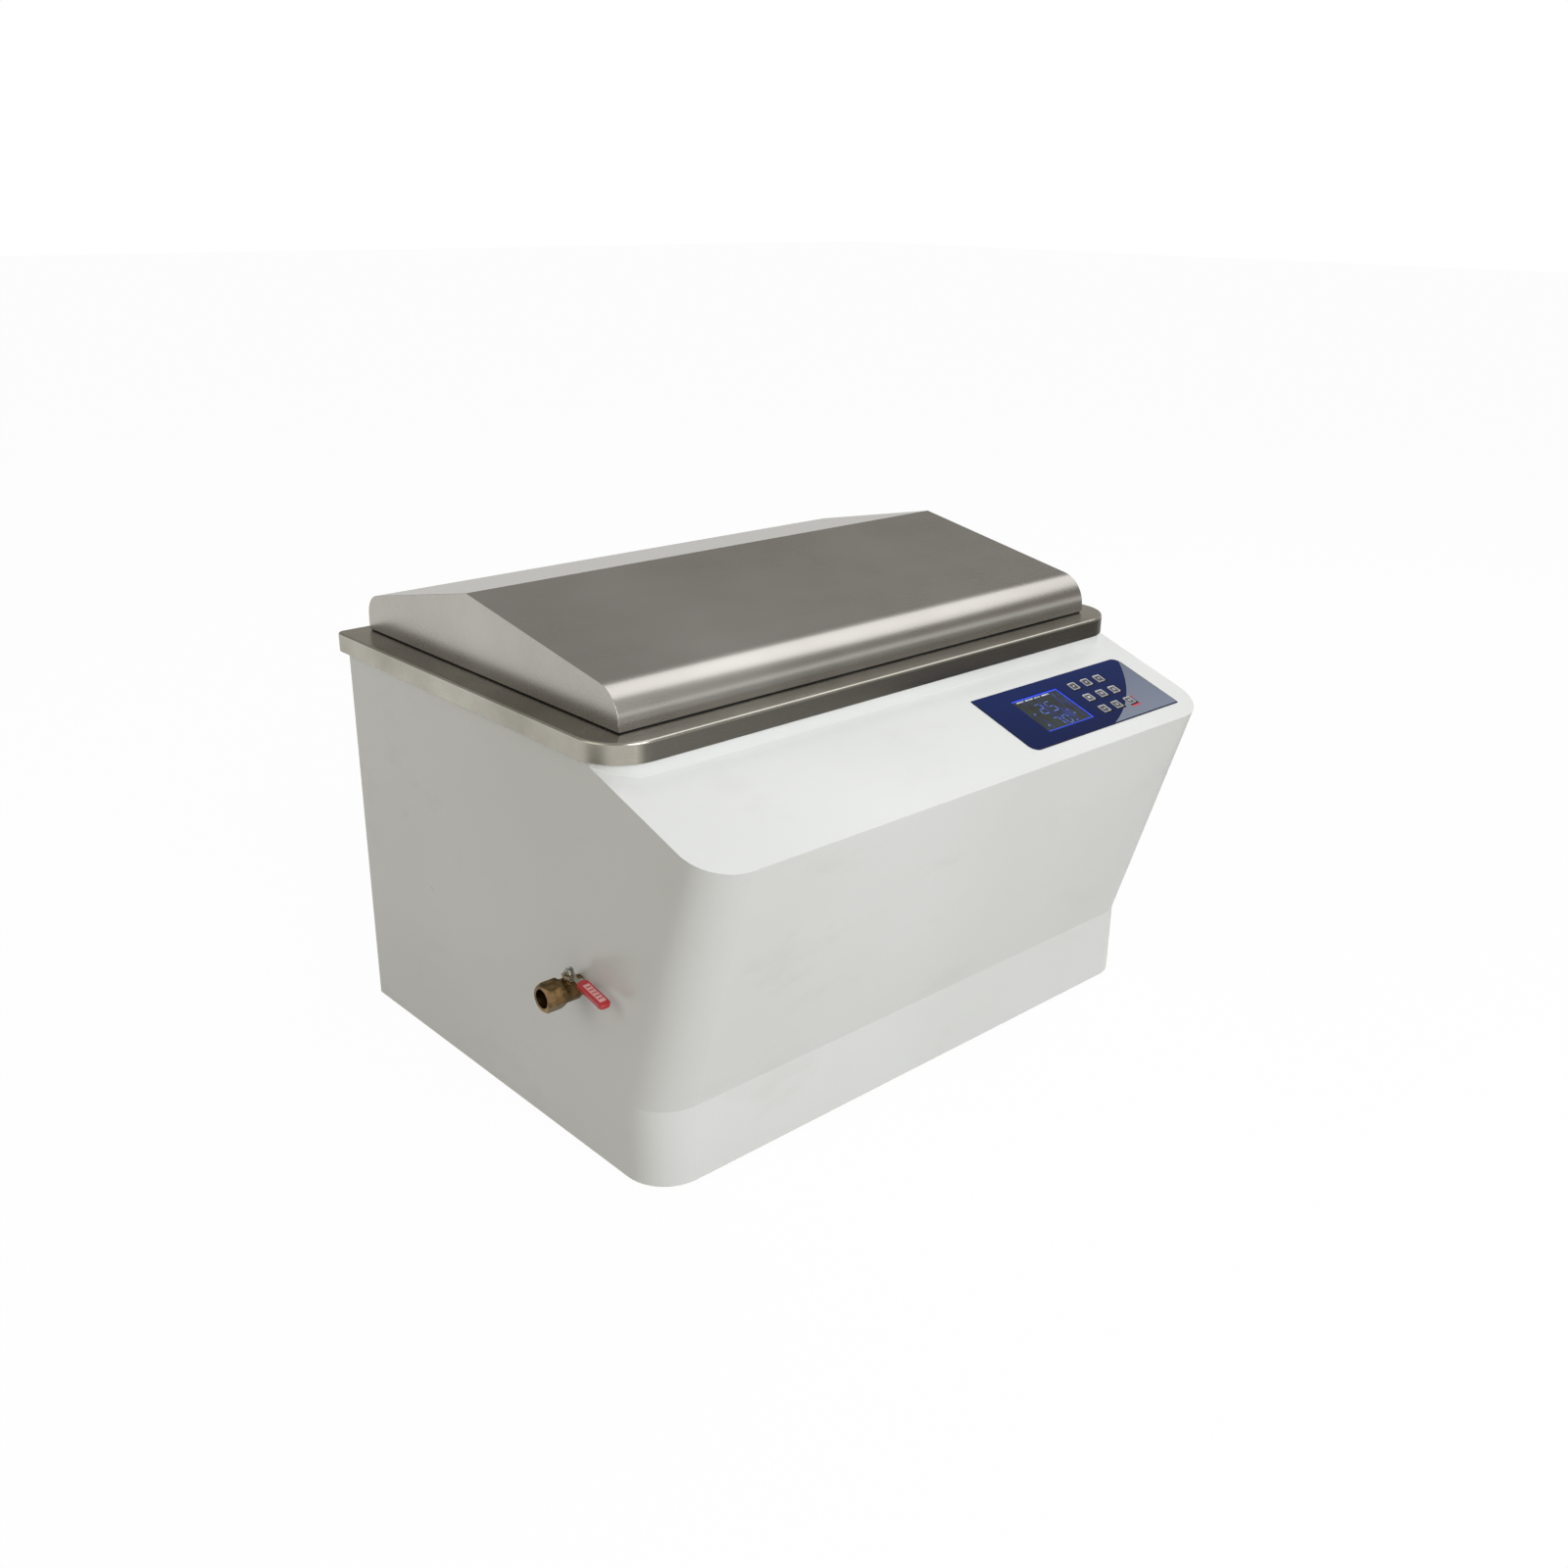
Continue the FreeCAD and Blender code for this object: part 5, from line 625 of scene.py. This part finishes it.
displaySigns = {"level": 0.0005, "thick": 0.0001, "bar": 0.0016, "tall": 0.0155, "meet": 1.15, "round": 0.3,
                "digits": (("2", 0.1475, 0.0735, 0.0155, 0.0085), ("5", 0.1625, 0.0735, 0.0155, 0.0085),
                           ("7", 0.1500, 0.0500, 0.0125, 0.0070), ("0", 0.1625, 0.0500, 0.0125, 0.0070),
                           ("3", 0.1815, 0.0870, 0.0055, 0.0034), ("1", 0.1870, 0.0870, 0.0055, 0.0034)),
                "dots": ((0.1315, 0.0690), (0.1315, 0.0490), (0.1760, 0.0620), (0.1790, 0.0545),
                         (0.1720, 0.0445)),
                "dot": (0.0026, 0.0022), "dotEdge": 0.0005,
                "strip": ((0.1330, 0.0110), (0.1470, 0.0120), (0.1600, 0.0090), (0.1730, 0.0120)),
                "stripAt": 0.0915, "stripWide": 0.0017, "stripEdge": 0.0003}
segmentsOf = {"0": "abcdef", "1": "bc", "2": "abged", "3": "abgcd", "5": "afgcd", "7": "abc"}


def digitBars(sign, x, v, tall, wide):
    bar = displaySigns["bar"] * tall / displaySigns["tall"]
    half, quarter = wide / 2, tall / 4
    bars = {"a": (0, tall / 2, wide, bar), "g": (0, 0, wide, bar), "d": (0, -tall / 2, wide, bar),
            "f": (-half, quarter, bar, tall / 2), "b": (half, quarter, bar, tall / 2),
            "e": (-half, -quarter, bar, tall / 2), "c": (half, -quarter, bar, tall / 2)}
    shorter = bar * displaySigns["meet"]
    made = []
    for letter in segmentsOf[sign]:
        dx, dv, width, height = bars[letter]
        size = (width - shorter if width > height else width,
                height - shorter if height > width else height, displaySigns["thick"])
        made.append(slab("bar", (x + dx, v + dv, displaySigns["level"]), size,
                         bar * displaySigns["round"], 1))
    return made


def makeDisplaySigns():
    level, thick = displaySigns["level"], displaySigns["thick"]
    bars = []
    for digit in displaySigns["digits"]:
        bars += digitBars(*digit)
    for x, v in displaySigns["dots"]:
        bars.append(slab("dot", (x, v, level), (*displaySigns["dot"], thick), displaySigns["dotEdge"], 2))
    finishPiece(joined("displayDigits", bars), "root", segmentPaint, consolePlace)
    strip = [slab("strip", (x, displaySigns["stripAt"], level), (long, displaySigns["stripWide"], thick),
                  displaySigns["stripEdge"], 1) for x, long in displaySigns["strip"]]
    finishPiece(joined("displayStrip", strip), "root", stripPaint, consolePlace)
    print("display signs made")


redMarks = {"level": 0.00105, "thick": 0.0001, "edge": 0.0004,
            "dash": (0.2645, 0.0375, 0.0150, 0.0020), "spot": (0.2725, 0.0505, 0.0022, 0.0030)}


def makeRedMarks():
    marks = [slab("redMark", (x, v, redMarks["level"]), (wide, high, redMarks["thick"]), redMarks["edge"], 2)
             for x, v, wide, high in (redMarks["dash"], redMarks["spot"])]
    finishPiece(joined("overlayRedMarks", marks), "root", redPrintPaint, consolePlace)


valve = {"place": (-0.365, -0.147, 0.180), "tilt": 12, "sleeveTop": 0.0228,
         "panel": {"middle": -0.0390, "long": 0.0270, "wide": 0.0068, "proud": 0.0004, "edge": 0.00025},
         "ribs": {"count": 5, "gap": 0.0046, "long": 0.0012, "thick": 0.0004, "shorter": 0.0016,
                  "edge": 0.0001},
         "stem": {"low": 0.0195, "high": 0.0236, "radius": 0.0036, "edge": 0.0007,
                  "slot": 0.0026, "slotDepth": 0.0028, "sawLong": 0.02}}
valvePlace = Matrix.Translation(valve["place"]) @ Matrix.Rotation(math.radians(valve["tilt"]), 4, "X")


def makeValveDetails():
    panel, ribs = valve["panel"], valve["ribs"]
    plate = slab("sleevePanel", (0, panel["middle"], valve["sleeveTop"] + panel["proud"] / 2 - tiny),
                 (panel["wide"], panel["long"], panel["proud"] + 2 * tiny), panel["edge"], 2)
    finishPiece(plate, "valve_handle", sleevePanelPaint, valvePlace)
    first = panel["middle"] - ribs["gap"] * (ribs["count"] - 1) / 2
    bars = [slab("rib", (0, first + ribs["gap"] * i, valve["sleeveTop"] + panel["proud"] + tiny),
                 (panel["wide"] - ribs["shorter"], ribs["long"], ribs["thick"]), ribs["edge"], 2)
            for i in range(ribs["count"])]
    finishPiece(joined("sleeveRibs", bars), "valve_handle", finishes["red_vinyl"], valvePlace)
    # the end of the stem, round with a slot sawn across it
    stem = valve["stem"]
    startPiece()
    bpy.ops.mesh.primitive_cylinder_add(vertices=32, radius=stem["radius"], depth=stem["high"] - stem["low"],
                                        location=(0, 0, (stem["high"] + stem["low"]) / 2))
    tip = bpy.context.active_object
    tip.name = "stemTip"
    bpy.ops.object.transform_apply(location=True, rotation=True, scale=True)
    pickEdges(tip, lambda first, last: min(first.z, last.z) > stem["high"] - 2 * tiny)
    roundEdges(tip, stem["edge"], 3)
    sawn(tip, slab("saw", (0, 0, stem["high"]), (stem["slot"], stem["sawLong"], 2 * stem["slotDepth"])))
    finishPiece(tip, "valve_handle", finishes["plated_steel"], valvePlace)
    print("valve details made")


screws = {"recess": 0.0009, "arm": (0.0046, 0.0009), "face": 0.2602, "twist": 9,
          "places": ((-0.3405, 0.0135), (0.3405, 0.0135), (-0.3405, 0.20175), (0.3405, 0.20175),
                     (-0.3405, 0.390), (0.3405, 0.390), (-0.1167, 0.0135), (0.1167, 0.0135))}


def makeRearScrews():
    # the screws' own heads with a cross sawn in each, turned a little differently from one to the next
    piece = copyOf("cabinet_screws", "rearScrewHeads")
    for turn in (0, 90):
        arms = []
        for x, z in screws["places"]:
            arm = slab("arm", (0, 0, 0), (*screws["arm"], 2 * screws["recess"]), turn=turn)
            facing = Matrix.Translation((x, screws["face"], z)) @ Matrix.Rotation(math.radians(-90), 4, "X")
            arm.matrix_world = facing @ Matrix.Rotation(x * screws["twist"], 4, "Z") @ arm.matrix_world
            arms.append(arm)
        sawn(piece, joined("arms", arms))
    finishPiece(piece, "root", finishes["plated_steel"], standsFor=("cabinet_screws",))
    print("rear screws made")


softenLid()
softenRim()
makeKeys()
makeDisplaySigns()
makeRedMarks()
makeValveDetails()
makeRearScrews()


# Camera, floor and lights

cameraSet = {"place": (-1.0536, -1.1902, 0.8620), "heading": (0.62889, 0.68838, -0.36143), "roll": 0.706,
             "lens": 35.18, "film": 36.0}


def makeCamera():
    lens = bpy.data.cameras.new("camera")
    lens.lens = cameraSet["lens"]
    lens.sensor_width = cameraSet["film"]
    camera = bpy.data.objects.new("camera", lens)
    bpy.context.scene.collection.objects.link(camera)
    look = Vector(cameraSet["heading"]).to_track_quat("-Z", "Y").to_matrix().to_4x4()
    roll = Matrix.Rotation(math.radians(cameraSet["roll"]), 4, "Z")
    camera.matrix_world = Matrix.Translation(cameraSet["place"]) @ look @ roll
    bpy.context.scene.camera = camera


lamps = {
    "keyLamp": {"place": (1.6, -0.35, 2.6), "aim": (0.0, 0.0, 0.3), "size": 2.3, "power": 23,
                "colour": (1, 1, 1)},
    "frontLamp": {"place": (-0.2, -2.8, 1.6), "aim": (0.0, 0.0, 0.2), "size": 2.0, "power": 61,
                  "colour": (1, 1, 1)},
    "leftLamp": {"place": (-2.6, 0.2, 1.5), "aim": (0.0, 0.0, 0.2), "size": 2.0, "power": 13,
                 "colour": (1, 0.92, 0.78)},
}


def makeLamps():
    for name, lamp in lamps.items():
        light = bpy.data.lights.new(name, "AREA")
        light.size = lamp["size"]
        light.energy = lamp["power"]
        light.color = lamp["colour"]
        holder = bpy.data.objects.new(name, light)
        bpy.context.scene.collection.objects.link(holder)
        place = Vector(lamp["place"])
        holder.matrix_world = Matrix.Translation(place) @ (
            Vector(lamp["aim"]) - place).to_track_quat("-Z", "Y").to_matrix().to_4x4()


floorSet = {"reach": 40.0, "level": -0.0002, "colour": tone(166, 163, 156),
            "shadow": tone(250, 250, 250), "shadowShare": 0.03,
            "mirrored": tone(246, 246, 243), "mirroredDim": tone(104, 101, 96),
            "dimming": (0.2, 1.3, 0, 0.85), "dimmingEnds": (0.3, 0.9, 1, 0),
            "dimPatch": (-1.2, -0.12), "dimSize": (0.28, 0.5)}


def makeFloor():
    startPiece()
    bpy.ops.mesh.primitive_plane_add(size=floorSet["reach"], location=(0, 0, floorSet["level"]))
    floor = bpy.context.active_object
    floor.name = "floor"
    paint = Paint("floorPaint", Roughness=0.9)
    rays = paint.tree.nodes.new("ShaderNodeLightPath")
    seen = Wire(paint, rays.outputs["Is Camera Ray"]) + Wire(paint, rays.outputs["Is Transmission Ray"])
    paint.use(Base_Color=paint.blend(seen, floorSet["colour"], floorSet["shadow"]))
    white = paint.add("ShaderNodeEmission", {}, {"Color": (1, 1, 1, 1), "Strength": 1.0})
    mixed = paint.add("ShaderNodeMixShader", {}, {
        0: seen * (1 - floorSet["shadowShare"]), 1: Wire(paint, paint.shader.outputs[0]), 2: white})
    # what metal mirrors is dimmer towards the right and in one patch on the left
    x, y = paint.axes()[:2]
    patchX, patchY = floorSet["dimPatch"]
    away = ((x - patchX) ** 2 + (y - patchY) ** 2) ** 0.5
    rightward = paint.spread(x, *floorSet["dimming"]) * paint.spread(y, *floorSet["dimmingEnds"])
    dim = paint.either(rightward, 1 - paint.spread(away, *floorSet["dimSize"]))
    mirrored = paint.add("ShaderNodeEmission", {}, {
        "Color": paint.blend(dim, floorSet["mirrored"], floorSet["mirroredDim"]), "Strength": 1.0})
    paint.feed(paint.output.inputs["Surface"], paint.add("ShaderNodeMixShader", {}, {
        0: Wire(paint, rays.outputs["Is Glossy Ray"]), 1: mixed, 2: mirrored}))
    floor.data.materials.append(paint.material)


roomSet = {"fill": 0.36, "mirrored": ((0.1, tone(250, 250, 248)), (0.22, tone(140, 133, 124)),
                                     (0.38, tone(146, 142, 136)), (0.6, tone(172, 169, 166)))}


def makeRoom():
    # white behind the object, a darker ceiling in what metal reflects, soft grey fill for the rest
    world = bpy.data.worlds.new("room")
    bpy.context.scene.world = world
    world.use_nodes = True
    tree = world.node_tree
    tree.nodes.clear()
    rays = tree.nodes.new("ShaderNodeLightPath")
    place = tree.nodes.new("ShaderNodeTexCoord")
    split = tree.nodes.new("ShaderNodeSeparateXYZ")
    tree.links.new(place.outputs["Generated"], split.inputs[0])
    ramp = tree.nodes.new("ShaderNodeValToRGB")
    while len(ramp.color_ramp.elements) < len(roomSet["mirrored"]):
        ramp.color_ramp.elements.new(0.5)
    for element, (level, colour) in zip(ramp.color_ramp.elements, roomSet["mirrored"]):
        element.position = level
        element.color = colour
    tree.links.new(split.outputs["Z"], ramp.inputs[0])
    fill = tree.nodes.new("ShaderNodeBackground")
    fill.inputs["Strength"].default_value = roomSet["fill"]
    mirrored = tree.nodes.new("ShaderNodeBackground")
    tree.links.new(ramp.outputs[0], mirrored.inputs["Color"])
    behind = tree.nodes.new("ShaderNodeBackground")
    behind.inputs["Color"].default_value = (1, 1, 1, 1)
    first = tree.nodes.new("ShaderNodeMixShader")
    second = tree.nodes.new("ShaderNodeMixShader")
    output = tree.nodes.new("ShaderNodeOutputWorld")
    tree.links.new(rays.outputs["Is Glossy Ray"], first.inputs[0])
    tree.links.new(fill.outputs[0], first.inputs[1])
    tree.links.new(mirrored.outputs[0], first.inputs[2])
    tree.links.new(rays.outputs["Is Camera Ray"], second.inputs[0])
    tree.links.new(first.outputs[0], second.inputs[1])
    tree.links.new(behind.outputs[0], second.inputs[2])
    tree.links.new(second.outputs[0], output.inputs[0])


makeCamera()
makeLamps()
makeFloor()
makeRoom()
print("camera, lamps and floor placed")

bpy.context.scene.view_settings.view_transform = "Standard"
